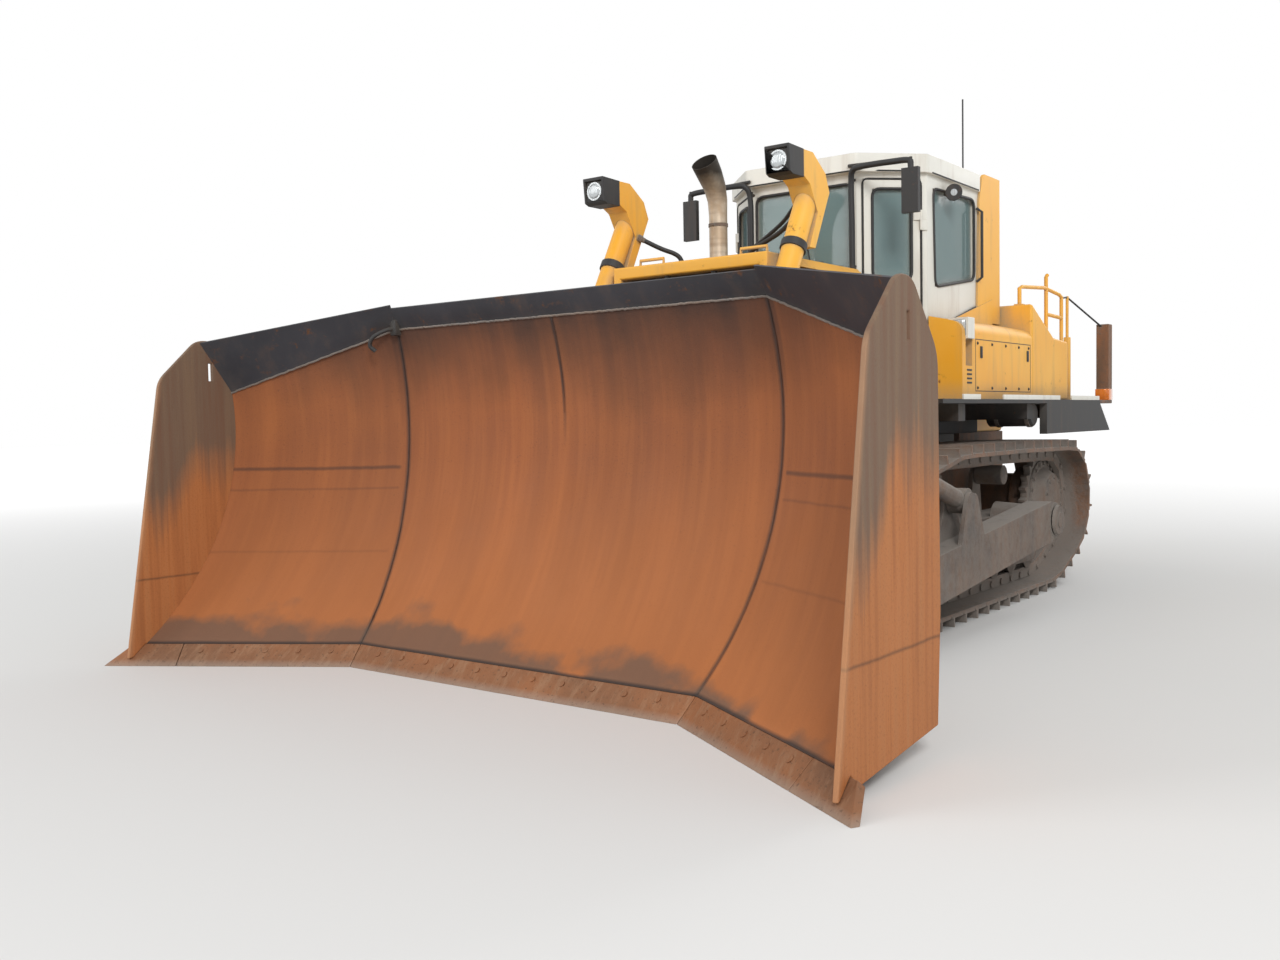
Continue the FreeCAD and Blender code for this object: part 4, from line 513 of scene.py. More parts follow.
class Shape:
    # a mesh put together from boxes, turned forms and tubes
    def __init__(self):
        self.bm = bmesh.new()

    def box(self, low, high, rounded=0.0, steps=2):
        low, high = placeOf(low), placeOf(high)
        corners = bmesh.ops.create_cube(self.bm, size=1)["verts"]
        middle, size = (low + high) / 2, high - low
        for corner in corners:
            corner.co = middle + Vector(part * span for part, span in zip(corner.co, size))
        if rounded:
            edges = list(dict.fromkeys(edge for corner in corners for edge in corner.link_edges))
            bmesh.ops.bevel(self.bm, geom=edges, offset=rounded, segments=steps, profile=0.5,
                            affect="EDGES")
        return self

    def skin(self, rings, closed):
        # faces from each ring to the next, and lids or a way round to the first
        pairs = list(zip(rings, rings[1:])) + ([(rings[-1], rings[0])] if closed else [])
        for first, second in pairs:
            for step, corner in enumerate(first):
                after = (step + 1) % len(first)
                self.bm.faces.new((corner, first[after], second[after], second[step]))
        if not closed:
            self.bm.faces.new(rings[0][::-1])
            self.bm.faces.new(rings[-1])
        return self

    def wheel(self, centre, axis, sections, sides=24, holed=False):
        # sections are (distance along the axis, radius)
        turn = Vector(axis).to_track_quat("Z", "Y")
        angles = [2 * math.pi * step / sides for step in range(sides)]
        return self.skin([[self.bm.verts.new(placeOf(centre) + turn @ Vector((
            radius * math.cos(angle), radius * math.sin(angle), reach))) for angle in angles]
            for reach, radius in sections], holed)

    def ring(self, centre, axis, sections):
        # a turned form with a hole through it
        return self.wheel(centre, axis, sections, 28, holed=True)

    def band(self, centre, axis, inner, outer, width):
        return self.ring(centre, axis, [(0, inner), (0, outer), (width, outer), (width, inner)])

    def pipe(self, points, radii, wall, sides=24):
        # an open ended pipe with a wall
        points = [placeOf(point) for point in points]
        outside = Shape().tube(points, list(radii), sides)
        spots = [corner.co.copy() for corner in outside.bm.verts]
        outside.bm.free()
        rings = [spots[start:start + sides] for start in range(0, len(spots), sides)]
        inside = [[point + (corner - point) * (1 - wall / radius) for corner in ring]
                  for ring, point, radius in zip(rings, points, radii)]
        return self.skin([[self.bm.verts.new(corner) for corner in ring]
                          for ring in (*rings, *inside[::-1])], closed=True)

    def tube(self, points, radius, sides=10, closed=False):
        # radius is one number, or one for each point
        points = [placeOf(point) for point in points]
        count = len(points)
        radii = radius if isinstance(radius, list) else [radius] * count
        rings, side = [], None
        for index, point in enumerate(points):
            before = points[index - 1] if closed or index else point
            after = points[(index + 1) % count] if closed or index < count - 1 else point
            ahead = (after - before).normalized()
            if side is None:
                side = ahead.orthogonal().normalized()
            side = (side - ahead * side.dot(ahead)).normalized()
            across = ahead.cross(side)
            rings.append([self.bm.verts.new(point + (
                side * math.cos(2 * math.pi * step / sides) + across * math.sin(2 * math.pi * step / sides)
            ) * radii[index]) for step in range(sides)])
        return self.skin(rings, closed)

    def mirrored(self):
        copy = bmesh.ops.duplicate(self.bm, geom=self.bm.verts[:] + self.bm.edges[:] + self.bm.faces[:])
        for item in copy["geom"]:
            if isinstance(item, bmesh.types.BMVert):
                item.co.x = -item.co.x
        return self

    def mesh(self, name):
        bmesh.ops.remove_doubles(self.bm, verts=self.bm.verts, dist=1e-6)
        bmesh.ops.recalc_face_normals(self.bm, faces=self.bm.faces)
        mesh = bpy.data.meshes.new(name)
        self.bm.to_mesh(mesh)
        self.bm.free()
        return mesh

    def done(self, name, finish, body="tractor", replaced=(), smooth=38):
        return settle(name, self.mesh(name), finish, body, replaced, smooth)


def curved(points, steps=6):
    # smooth line through a few points
    points = [placeOf(point) for point in points]
    ends = [points[0] * 2 - points[1], *points, points[-1] * 2 - points[-2]]
    line = []
    for index in range(1, len(ends) - 2):
        before, first, second, after = ends[index - 1:index + 3]
        for step in range(steps):
            share = step / steps
            line.append(0.5 * (2 * first + (second - before) * share
                               + (2 * before - 5 * first + 4 * second - after) * share ** 2
                               + (3 * first - before - 3 * second + after) * share ** 3))
    return [*line, points[-1]]


def splineThrough(name, points):
    # the hose's own line: a smooth spline with the route's points as its controls
    curve = bpy.data.curves.new(name + "Route", "CURVE")
    curve.dimensions = "3D"
    curve.resolution_u = 12
    spline = curve.splines.new("NURBS")
    spline.points.add(len(points) - 1)
    for control, point in zip(spline.points, points):
        control.co = (*point, 1)
    spline.order_u = 3
    spline.use_endpoint_u = True
    holder = placed(name + "Route", curve)
    line = [corner.co.copy() for corner in frozen(holder).vertices]
    bpy.data.objects.remove(holder)
    return line


def rounded(corners, radius, steps=5):
    # closed line with its corners rounded
    corners = [placeOf(corner) for corner in corners]
    line = []
    for index, corner in enumerate(corners):
        start = corner + (corners[index - 1] - corner).normalized() * radius
        end = corner + (corners[(index + 1) % len(corners)] - corner).normalized() * radius
        for step in range(steps + 1):
            share = step / steps
            line.append(start.lerp(corner, share).lerp(corner.lerp(end, share), share))
    return line


# Growth trees: bolt heads on points, rows of slats, and weld beads along lines
class Growth:
    def __init__(self, name, **inputs):
        # inputs are a label and the kind of its socket
        self.tree = bpy.data.node_groups.new(name, "GeometryNodeTree")
        face = self.tree.interface
        face.new_socket("Geometry", in_out="INPUT", socket_type="NodeSocketGeometry")
        for label, kind in {**inputs, "Finish": "Material"}.items():
            face.new_socket(label, in_out="INPUT", socket_type="NodeSocket" + kind)
        face.new_socket("Geometry", in_out="OUTPUT", socket_type="NodeSocketGeometry")
        start = self.tree.nodes.new("NodeGroupInput")
        self.given = {out.name: Field(self.tree, out) for out in start.outputs}

    def node(self, kind, settings=None, **sockets):
        return addNode(self.tree, kind, settings, **sockets)

    def joined(self, *parts):
        join = self.tree.nodes.new("GeometryNodeJoinGeometry")
        for part in parts:
            self.tree.links.new(part.socket, join.inputs[0])
        return Field(self.tree, join.outputs[0])

    def onPoints(self, instance, turn):
        return self.close(self.node("GeometryNodeInstanceOnPoints", Points=self.given["Geometry"],
                                    Instance=instance, Rotation=turn)["Instances"])

    def close(self, geometry):
        real = self.node("GeometryNodeRealizeInstances", Geometry=geometry)["Geometry"]
        painted = self.node("GeometryNodeSetMaterial", Geometry=real,
                            Material=self.given["Finish"])["Geometry"]
        end = self.tree.nodes.new("NodeGroupOutput")
        self.tree.links.new(painted.socket, end.inputs[0])
        return self.tree


def makeBoltTree():
    growth = Growth("boltHeads", Radius="Float", Height="Float", Sides="Int", Washer="Float")
    given, node = growth.given, growth.node
    radius, height = given["Radius"], given["Height"]
    head = node("GeometryNodeMeshCylinder", Vertices=given["Sides"], Radius=radius, Depth=height)["Mesh"]
    lift = node("ShaderNodeCombineXYZ", Z=height * 0.75)["Vector"]
    head = node("GeometryNodeTransform", Geometry=head, Translation=lift)["Geometry"]
    washer = node("GeometryNodeMeshCylinder", Vertices=12, Radius=radius * given["Washer"],
                  Depth=height * 0.5)["Mesh"]
    way = node("GeometryNodeInputNamedAttribute", {"data_type": "FLOAT_VECTOR"}, Name="way")["Attribute"]
    turn = node("FunctionNodeAlignRotationToVector", {"axis": "Z"}, Vector=way)["Rotation"]
    return growth.onPoints(growth.joined(head, washer), turn)


def makeSlatTree():
    growth = Growth("slatRow", Size="Vector", Turn="Rotation")
    slat = growth.node("GeometryNodeMeshCube", Size=growth.given["Size"])["Mesh"]
    return growth.onPoints(slat, growth.given["Turn"])


def makeBeadTree():
    growth = Growth("weldBead", Radius="Float", Step="Float", Ripple="Float")
    given, node = growth.given, growth.node
    line = node("GeometryNodeMeshToCurve", Mesh=given["Geometry"])["Curve"]
    line = node("GeometryNodeResampleCurve", {"mode": "LENGTH"}, Curve=line, Length=given["Step"])["Curve"]
    chance = node("FunctionNodeRandomValue", {"data_type": "FLOAT_VECTOR"}, Min=(-1, -1, -1),
                  Max=(1, 1, 1), Seed=7)["Value"]
    shift = node("ShaderNodeVectorMath", {"operation": "SCALE"}, Vector=chance,
                 Scale=given["Ripple"])["Vector"]
    line = node("GeometryNodeSetPosition", Geometry=line, Offset=shift)["Geometry"]
    profile = node("GeometryNodeCurvePrimitiveCircle", Resolution=6, Radius=given["Radius"])["Curve"]
    return growth.close(node("GeometryNodeCurveToMesh", Curve=line, Profile_Curve=profile,
                             Fill_Caps=True)["Mesh"])


trees = {"bolt": makeBoltTree(), "slat": makeSlatTree(), "bead": makeBeadTree()}


def grow(name, tree, points, finish, body, edges=(), ways=(), **values):
    # runs a growth tree on a few points and keeps the plain mesh
    mesh = bpy.data.meshes.new(name)
    mesh.from_pydata([tuple(placeOf(point)) for point in points], edges, [])
    if ways:
        mesh.attributes.new("way", "FLOAT_VECTOR", "POINT").data.foreach_set(
            "vector", [part for way in ways for part in way])
    holder = placed(name + "Seed", mesh)
    modifier = holder.modifiers.new("growth", "NODES")
    modifier.node_group = trees[tree]
    values["Finish"] = dress[finish][0]
    for item in trees[tree].interface.items_tree:
        if item.in_out == "INPUT" and item.name in values:
            modifier[item.identifier] = values[item.name]
    bpy.context.view_layer.update()
    grown = frozen(holder)
    bpy.data.objects.remove(holder)
    return settle(name, grown, finish, body)


def bolts(name, spots, finish, radius, height, body="tractor", corners=6, washer=1.5):
    # spots are pairs of a place and the way that the head points
    return grow(name, "bolt", [place for place, _ in spots], finish, body, ways=[way for _, way in spots],
                Radius=radius, Height=height, Sides=corners, Washer=washer)


def bead(name, lines, finish, body, radius, step, ripple):
    points, edges = [], []
    for line in lines:
        start = len(points)
        points += line
        edges += [(index, index + 1) for index in range(start, len(points) - 1)]
    return grow(name, "bead", points, finish, body, edges=edges, Radius=radius, Step=step, Ripple=ripple)


def slats(name, places, size, finish, body="tractor", turn=(0, 0, 0)):
    return grow(name, "slat", places, finish, body, Size=size, Turn=turn)


def both(points):
    return [*points, *flipped(points)]


def bothWays(spots):
    return [*spots, *((place, (-way[0], *way[1:])) for place, (_, way) in zip(
        flipped(place for place, _ in spots), spots))]


def bothFacing(way, places):
    # bolt spots that all face one way, on either side of the machine
    return bothWays([(place, way) for place in places])


print("tools ready")

# Rounded edges on the CAD pieces: a merged copy with bevelled corners stands for each
edgeRounding = {
    0.004: "left_track right_track sprockets idlers rollers carriers hood left_hood_door right_hood_door "
           "left_cab_door right_cab_door grille cutting_edges left_mast_lamp right_mast_lamp mirrors "
           "roof_lamps spill_guard moldboard pod_lamps",
    0.007: "cheek_plates blade_frame arm_ears cab_shell cylinder_yokes left_lift_cover right_lift_cover "
           "drawbar rear_post decks console seat_base main_frame engine left_lift_barrel "
           "right_lift_barrel left_tilt_barrel right_tilt_barrel",
    0.012: "track_frames left_push_arm right_push_arm rear_case radiator_guard roll_bar cab_base",
    0.022: "side_pods tank cab_roof",
}


def shellOf(name, flat=True):
    # a CAD piece's mesh with doubled corners merged and, if asked, each flat face in one
    shell = bmesh.new()
    shell.from_mesh(nodes[name].data)
    bmesh.ops.remove_doubles(shell, verts=shell.verts, dist=2e-5)
    if flat:
        bmesh.ops.dissolve_limit(shell, angle_limit=math.radians(0.6), verts=shell.verts, edges=shell.edges)
    return shell


def roundEdges(name, width):
    shell = shellOf(name)
    mesh = bpy.data.meshes.new(name + "Rounded")
    shell.to_mesh(mesh)
    shell.free()
    piece = settle(name + "Rounded", mesh, finishOf[name], bodyOf(name), (name,))
    bevel = piece.modifiers.new("roundedEdges", "BEVEL")
    bevel.width = width
    bevel.segments = 2
    bevel.limit_method = "ANGLE"
    bevel.angle_limit = math.radians(32)
    bevel.harden_normals = True


for width, names in edgeRounding.items():
    for name in names.split():
        roundEdges(name, width)
print("edges rounded")

# Bowl: raised seams at the wing joints and the rib, a weld under the guard, plough bolts and a hook
blade = {
    "wingTurn": 31.3, "edgeAngle": 45.5, "boltEvery": 0.2, "boltRise": 0.052, "seamShift": 0.002,
    "guardLine": ((0, 0.573, 1.983), (1.3255, 0.573, 1.983), (2.329, 0.063, 1.618)),
    "hook": ((-1.325, 0.565, 1.99), (-1.35, 0.5, 1.975), (-1.4, 0.445, 1.935), (-1.425, 0.44, 1.885),
             (-1.405, 0.465, 1.85)),
    "hookPad": ((-1.35, 0.535, 1.945), (-1.3, 0.59, 2.04)),
}
halfTurn = math.radians(blade["wingTurn"] / 2)
jointSpot = at(bladeLook["jointAtEdge"], 0, 0)
jointWay = Vector((math.cos(halfTurn), -math.sin(halfTurn), 0))
wingWay = Vector((math.cos(2 * halfTurn), -math.sin(2 * halfTurn), 0))
wingBack = Vector((math.sin(2 * halfTurn), math.cos(2 * halfTurn), 0))


def lineOn(name, spot, way, low=-9.0, front=-0.05):
    # where a plane crosses the front of a CAD piece, as one line from the foot up
    shell = shellOf(name, flat=False)
    found = bmesh.ops.bisect_plane(shell, geom=shell.verts[:] + shell.edges[:] + shell.faces[:],
                                   plane_co=spot, plane_no=way)["geom_cut"]
    points = []
    for item in found:
        if isinstance(item, bmesh.types.BMVert) and item.co.z > low:
            facing = sum((face.normal for face in item.link_faces), Vector()).normalized()
            if facing.y < front:
                points.append(item.co + facing * 0.001)
    shell.free()
    points.sort(key=lambda point: point.z)
    return [point for index, point in enumerate(points)
            if index == 0 or (point - points[index - 1]).length > 0.003]


seam = lineOn("moldboard", jointSpot + jointWay * blade["seamShift"], jointWay)
bead("jointSeams", [seam, flipped(seam)], "bowl", "blade", 0.005, 0.025, 0.0012)
rib = lineOn("moldboard", Vector((bladeLook["rib"], 0, 0)), Vector(leftward), low=1.45)
bead("bowlRib", [rib], "bowl", "blade", 0.005, 0.03, 0.0006)
guardLine = [at(*spot) for spot in blade["guardLine"]]
bead("guardWeld", [flipped(guardLine[:0:-1]) + guardLine], "weld", "blade", 0.0065, 0.014, 0.0018)
edgeTurn = math.radians(blade["edgeAngle"])
edgeSpots = [(at(step * blade["boltEvery"], 0, 0), Vector((0, 1, 0))) for step in range(-5, 6)]
for step in range(1, 6):
    edgeSpots += bothWays([(jointSpot + wingWay * (step * blade["boltEvery"] - 0.06), wingBack)])
edgeBolts = []
for place, back in edgeSpots:
    up, back = Vector(upward), Vector(back)
    rise = up * math.sin(edgeTurn) + back * math.cos(edgeTurn)
    edgeBolts.append((place + rise * (blade["boltRise"] + 0.06),
                      up * math.cos(edgeTurn) - back * math.sin(edgeTurn)))
bolts("ploughBolts", edgeBolts, "edge", 0.017, 0.004, "blade", 12, 1.0)
Shape().tube(curved(blade["hook"]), 0.013).box(*blade["hookPad"], 0.008).done("guardHook", "black", "blade")
print("blade detailed")

# Lift gear: gland rings, lamp lenses, plugs and hoses that bend where the mast meets the hood
lift = {
    "mast": 0.7, "yoke": (1.724, 2.05), "way": (0, 0.4781, 0.8783), "gland": -0.45, "clamp": 0.4,
    "glandRing": ((-0.014, 0.041), (-0.014, 0.07), (0, 0.08), (0.055, 0.08), (0.06, 0.072), (0.06, 0.06),
                  (0.01, 0.041)),
    "yokeBolts": {"across": (-0.105, 0.105), "station": 1.7, "heights": (1.92, 2.09)},
    "lampBack": ((0.632, 1.756, 2.846), (0.768, 1.772, 2.978)),
    "lampHeight": 2.912, "rim": (1.758, ((-0.002, 0.06), (0.006, 0.06), (0.006, 0.052))),
    "lens": (1.756, ((0, 0.052), (0.006, 0.048), (0.011, 0.034), (0.014, 0.012))),
    "plug": {"half": 0.03, "low": (1.905, 2.865), "high": (1.925, 2.905)},
    # distance along the hose and share of its radius
    "ferrule": ((0, 1.5), (0.03, 1.5), (0.034, 1.15), (0.05, 1.15)),
    "hoses": (
        ("leftMastHose", 1, 0.016, ((0.618, 2.12, 2.64), (0.57, 2.15, 2.63), (0.44, 2.23, 2.575),
                                    (0.25, 2.31, 2.53), (0.12, 2.35, 2.49), (0.085, 2.36, 2.432))),
        ("leftLampHose", 1, 0.013, ((0.618, 2.16, 2.74), (0.56, 2.2, 2.73), (0.42, 2.3, 2.65),
                                    (0.22, 2.38, 2.57), (0.06, 2.42, 2.5), (0.04, 2.425, 2.432))),
        ("rightMastHose", -1, 0.016, ((0.618, 2.12, 2.64), (0.575, 2.16, 2.61), (0.5, 2.23, 2.56),
                                      (0.43, 2.29, 2.53), (0.4, 2.32, 2.49), (0.395, 2.33, 2.432))),
    ),
}
for side, word in flanks:
    barrel, mast, yokeBolts = word + "_lift_barrel", side * lift["mast"], lift["yokeBolts"]
    place, way = at(mast, *lift["yoke"]), Vector(lift["way"]).normalized()
    Shape().ring(place + way * lift["gland"], way, lift["glandRing"]).done(
        word + "LiftGland", "dusty", barrel)
    Shape().band(place + way * lift["clamp"], way, 0.0705, 0.081, 0.05).done(
        word + "LiftClamp", "black", barrel)
    bolts(word + "YokeBolts", [((side * (lift["mast"] + across), yokeBolts["station"], height), forward)
                               for across in yokeBolts["across"] for height in yokeBolts["heights"]],
          "black", 0.013, 0.01)
    low, high = (at(x * side, station, height) for x, station, height in lift["lampBack"])
    Shape().box(Vector(map(min, low, high)), Vector(map(max, low, high)), 0.006).done(
        word + "MastLampBack", "rubber", barrel)
    lamp = Shape()
    for station, sections in (lift["rim"], lift["lens"]):
        lamp.wheel((mast, station, lift["lampHeight"]), forward, sections, 28)
    lamp.done(word + "MastLens", "lens", barrel)
    half, low, high = lift["plug"].values()
    Shape().box((mast - half, *low), (mast + half, *high), 0.005).done(word + "MastPlug", "rubber", barrel)
for name, side, radius, route in lift["hoses"]:
    points = [at(x * side, station, height) for x, station, height in route]
    body = "left_lift_barrel" if side > 0 else "right_lift_barrel"
    line = splineThrough(name, points)
    hose = Shape().tube(line, radius, 12).done(name, "rubber", None, smooth=60)
    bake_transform(hose, "tractor", body, start=points[-2], end=points[1])
    for index, (place, after) in enumerate(((points[0], points[1]), (points[-1], points[-2]))):
        way = (after - place).normalized()
        sections = [(reach, radius * share) for reach, share in lift["ferrule"]]
        Shape().wheel(place - way * 0.004, way, sections, 12).done(
            f"{name}Ferrule{index}", "dusty", "tractor" if index else body)
print("lift gear detailed")

# Hood: exhaust, door louvres and latches, radiator fins, caps and bolts
hood = {
    "stack": (-0.25, 2.55), "top": 2.43, "doorFace": 0.5415,
    "pipe": ((2.55, 2.425), (2.55, 2.6), (2.55, 2.8), (2.545, 2.9), (2.515, 2.985), (2.455, 3.065),
             (2.388, 3.14)),
    "pipeRadii": (0.063, 0.063, 0.063, 0.068, 0.076, 0.086, 0.091),
    "collar": ((0, 0.063), (0, 0.105), (0.012, 0.105), (0.016, 0.07), (0.05, 0.068), (0.05, 0.063)),
    "louvres": {"rows": 11, "low": 1.68, "rise": 0.046, "columns": (2.36, 2.72), "long": 0.26, "tilt": 28},
    "latchHeights": (1.6, 2.22),
    "handle": ((0.542, 1.84), (0.57, 1.86), (0.57, 2.00), (0.542, 2.02)),
    "fins": {"count": 66, "half": 0.5, "station": 1.905, "low": 1.16, "high": 2.3},
    "grilleBolts": (1.15, 1.42, 1.7, 1.98, 2.26), "hoodBolts": (2.22, 2.5, 2.78, 3.06),
    "cap": ((-0.004, 0.062), (0.012, 0.062), (0.016, 0.048), (0.04, 0.048), (0.046, 0.04)),
    "guardHandle": ((0.49, 2.402), (0.49, 2.455), (0.3, 2.455), (0.3, 2.402)),
}
stackX = hood["stack"][0]
Shape().pipe([(stackX, *spot) for spot in hood["pipe"]], hood["pipeRadii"], 0.005, 32).done(
    "exhaustPipe", "exhaust", "tractor", ("exhaust",), smooth=50)
Shape().ring((*hood["stack"], hood["top"]), upward, hood["collar"]).done("exhaustCollar", "black")
Shape().band((*hood["stack"], 2.72), upward, 0.063, 0.068, 0.022).box(
    (stackX - 0.012, 2.47, 2.722), (stackX + 0.012, 2.484, 2.74), 0.003).done("exhaustClamp", "dusty")
louvres = hood["louvres"]
for side, word in flanks:
    door = word + "_hood_door"
    places = [at(side * hood["doorFace"], station, louvres["low"] + row * louvres["rise"])
              for station in louvres["columns"] for row in range(louvres["rows"])]
    slats(word + "HoodLouvres", places, (0.01, louvres["long"], 0.016), "yellow", door,
          (0, side * math.radians(louvres["tilt"]), 0))
    slats(word + "HoodLouvreGaps", [place + Vector((-side * 0.0012, 0, -0.012)) for place in places],
          (0.003, louvres["long"] - 0.01, 0.014), "rubber", door)
    latch = Shape()
    for height in hood["latchHeights"]:
        latch.box((side * 0.54, 2.175, height), (side * 0.556, 2.225, height + 0.03), 0.004)
    latch.tube([(side * x, 2.215, height) for x, height in hood["handle"]], 0.008, 8)
    latch.done(word + "HoodLatches", "black", door)
fins = hood["fins"]
slats("radiatorFins", [(-fins["half"] + 2 * fins["half"] * index / (fins["count"] - 1), fins["station"],
                        (fins["low"] + fins["high"]) / 2) for index in range(fins["count"])],
      (0.003, 0.03, fins["high"] - fins["low"]), "rubber")
Shape().box((-0.52, 1.925, 1.15), (0.52, 1.935, 2.31)).done("radiatorCore", "rubber")
bolts("grilleBolts", bothFacing(forward, [(0.555, 1.8, height) for height in hood["grilleBolts"]]),
      "black", 0.012, 0.009)
bolts("hoodBolts", bothFacing(upward, [(0.43, station, hood["top"]) for station in hood["hoodBolts"]]),
      "black", 0.01, 0.008)
Shape().wheel((0.22, 2.33, hood["top"]), upward, hood["cap"]).box(
    (0.175, 2.322, 2.472), (0.265, 2.338, 2.486), 0.005).done("radiatorCap", "black")
handles = Shape()
for side in (-1, 1):
    handles.tube([(side * x, 1.97, height) for x, height in hood["guardHandle"]], 0.011)
handles.done("guardHandles", "yellow")
print("hood detailed")

# Cab: rubber round the glass, door gaps, handles, wiper, mirrors, lamps and what stands inside
cab = {
    "seal": 0.011,
    "windshield": ((-0.39, 3.288, 2.38), (0.39, 3.288, 2.38), (0.39, 3.288, 3.04), (-0.39, 3.288, 3.04)),
    "rear": ((-0.65, 4.852, 2.38), (0.65, 4.852, 2.38), (0.65, 4.852, 3.02), (-0.65, 4.852, 3.02)),
    "side": ((0.802, 3.78, 2.32), (0.802, 4.52, 2.43), (0.802, 4.52, 3.04), (0.802, 3.75, 3.02)),
    # along the corner door: from, to, low and high
    "corner": (0.43, 3.29), "cornerWay": (0.7168, 0.6973), "window": (0.115, 0.401, 2.36, 3.00),
    "door": (0.041, 0.475, 1.588, 3.072),
    # along the door, height and way out of it
    "grip": ((0.08, 2.00, 0.0), (0.08, 2.005, 0.045), (0.08, 2.22, 0.045), (0.08, 2.225, 0.0)),
    "lock": ((0.1, 1.92, 0.0), (0.1, 1.92, 0.02), (0.16, 1.93, 0.024)),
    "wiperArm": ((0.1, 3.268, 2.355), (0.05, 3.262, 2.62), (0.03, 3.266, 2.74)),
    "wiperBlade": ((-0.03, 3.272, 2.52), (0.03, 3.272, 2.74), (0.07, 3.272, 2.93)),
    "mirrorRoute": ((0.416, 3.262, 2.43), (0.416, 3.248, 2.48), (0.416, 3.246, 2.76), (0.416, 3.24, 3.02),
                    (0.44, 3.215, 3.11), (0.52, 3.195, 3.128), (0.76, 3.172, 3.122), (0.885, 3.16, 3.112),
                    (0.9, 3.16, 3.08), (0.9, 3.16, 3.02)),
    "mirror": ((0.842, 3.142, 2.762), (0.958, 3.178, 3.058)),
    "mirrorGlass": ((0.852, 3.178, 2.775), (0.948, 3.181, 3.045)),
    "lampFace": (0.42, -0.9, -0.12), "lampSpot": (0.872, 3.96, 3.01),
    "lampCase": ((-0.045, 0.03), (-0.04, 0.045), (-0.01, 0.058), (0.03, 0.06), (0.03, 0.053),
                 (0.022, 0.052)),
    "lampLens": ((0.018, 0.051), (0.024, 0.05), (0.029, 0.036), (0.031, 0.012)),
    "antenna": (0.55, 4.93),
    "grabRail": ((0.808, 2.42), (0.85, 2.45), (0.85, 2.95), (0.808, 2.98)),
    "gutter": ((-0.45, 3.232), (0.45, 3.232), (0.824, 3.622), (0.824, 4.56)), "gutterHeight": 3.118,
    "mirrorClamps": (2.455, 3.06), "consoles": (-0.31, 0.31), "pedals": (-0.12, 0.12),
    "lever": ((0, 0.035), (0.02, 0.028), (0.05, 0.012), (0.14, 0.011), (0.15, 0.024), (0.2, 0.026),
              (0.23, 0.016)),
}


def onDoor(along, height, out):
    x, station = cab["corner"]
    alongX, alongStation = cab["cornerWay"]
    return at(x + alongX * along + alongStation * out, station + alongStation * along - alongX * out,
              height)


def doorLoop(start, end, low, high, out, radius, side):
    return flipped(rounded([onDoor(start, low, out), onDoor(end, low, out), onDoor(end, high, out),
                            onDoor(start, high, out)], radius), side)


glazing, gaps = Shape(), Shape()
for name in ("windshield", "rear"):
    glazing.tube(rounded(cab[name], 0.06), cab["seal"], 8, closed=True)
for side, _ in flanks:
    glazing.tube(flipped(rounded(cab["side"], 0.07), side), cab["seal"], 8, closed=True)
    gaps.tube(doorLoop(*cab["door"], 0.001, 0.05, side), 0.006, 8, closed=True)
glazing.done("windowSeals", "rubber", smooth=60)
gaps.done("doorGaskets", "rubber", smooth=60)
for side, word in flanks:
    body = word + "_cab_door"
    Shape().tube(doorLoop(*cab["window"], 0.002, 0.06, side), cab["seal"], 8, closed=True).done(
        word + "DoorSeal", "rubber", body, smooth=60)
    grip, lock = (flipped([onDoor(*spot) for spot in cab[name]], side) for name in ("grip", "lock"))
    Shape().tube(grip, 0.009).tube(lock, 0.01, 8).done(word + "DoorHandle", "rubber", body)
Shape().wheel((0.1, 3.285, 2.355), forward, [(0, 0.02), (0.018, 0.018)], 14).tube(
    cab["wiperArm"], 0.006, 8).tube(cab["wiperBlade"], 0.008, 6).done("wiper", "rubber")
mirror = Shape().tube(curved(cab["mirrorRoute"], 5), 0.021, 12).box(*cab["mirror"], 0.018, 3)
for height in cab["mirrorClamps"]:
    mirror.tube([(0.416, 3.248, height), (0.416, 3.292, height)], 0.011, 8)
mirror.mirrored().done("mirrorsAndStays", "rubber", "tractor", ("mirrors",), smooth=50)
Shape().box(*cab["mirrorGlass"], 0.001).mirrored().done("mirrorGlass", "chrome")
lampFace = Vector(cab["lampFace"]).normalized()
Shape().wheel(cab["lampSpot"], lampFace, cab["lampCase"], 32).box(
    (0.8, 3.945, 2.995), (0.85, 3.975, 3.025), 0.005).mirrored().done(
    "workLamps", "black", "tractor", ("roof_lamps",))
Shape().wheel(cab["lampSpot"], lampFace, cab["lampLens"], 32).mirrored().done("workLampLenses", "lens")
Shape().tube([(*cab["antenna"], 3.22), (*cab["antenna"], 3.9295)], 0.0068, 8).wheel(
    (*cab["antenna"], 3.238), upward, [(0, 0.026), (0.035, 0.022), (0.06, 0.01)], 16).done(
    "antennaRod", "rubber")
Shape().tube([(x, 4.56, height) for x, height in cab["grabRail"]], 0.011).mirrored().done(
    "grabRails", "black")
roofEdge = [(*spot, cab["gutterHeight"]) for spot in cab["gutter"]]
bead("roofGutter", [roofEdge, flipped(roofEdge[1:])], "rubber", "tractor", 0.006, 0.2, 0)
inside = Shape()
for x in cab["consoles"]:
    inside.box((x - 0.045, 4.02, 1.532), (x + 0.045, 4.44, 2.11), 0.015)
    inside.wheel((x, 4.08, 2.1), (0, -0.25, 1), cab["lever"], 16)
inside.box((-0.28, 3.345, 2.18), (0.28, 3.375, 2.3), 0.006)
for x in cab["pedals"]:
    inside.box((x - 0.04, 3.6, 1.56), (x + 0.04, 3.68, 1.575), 0.004)
inside.done("cabControls", "plastic")
print("cab detailed")

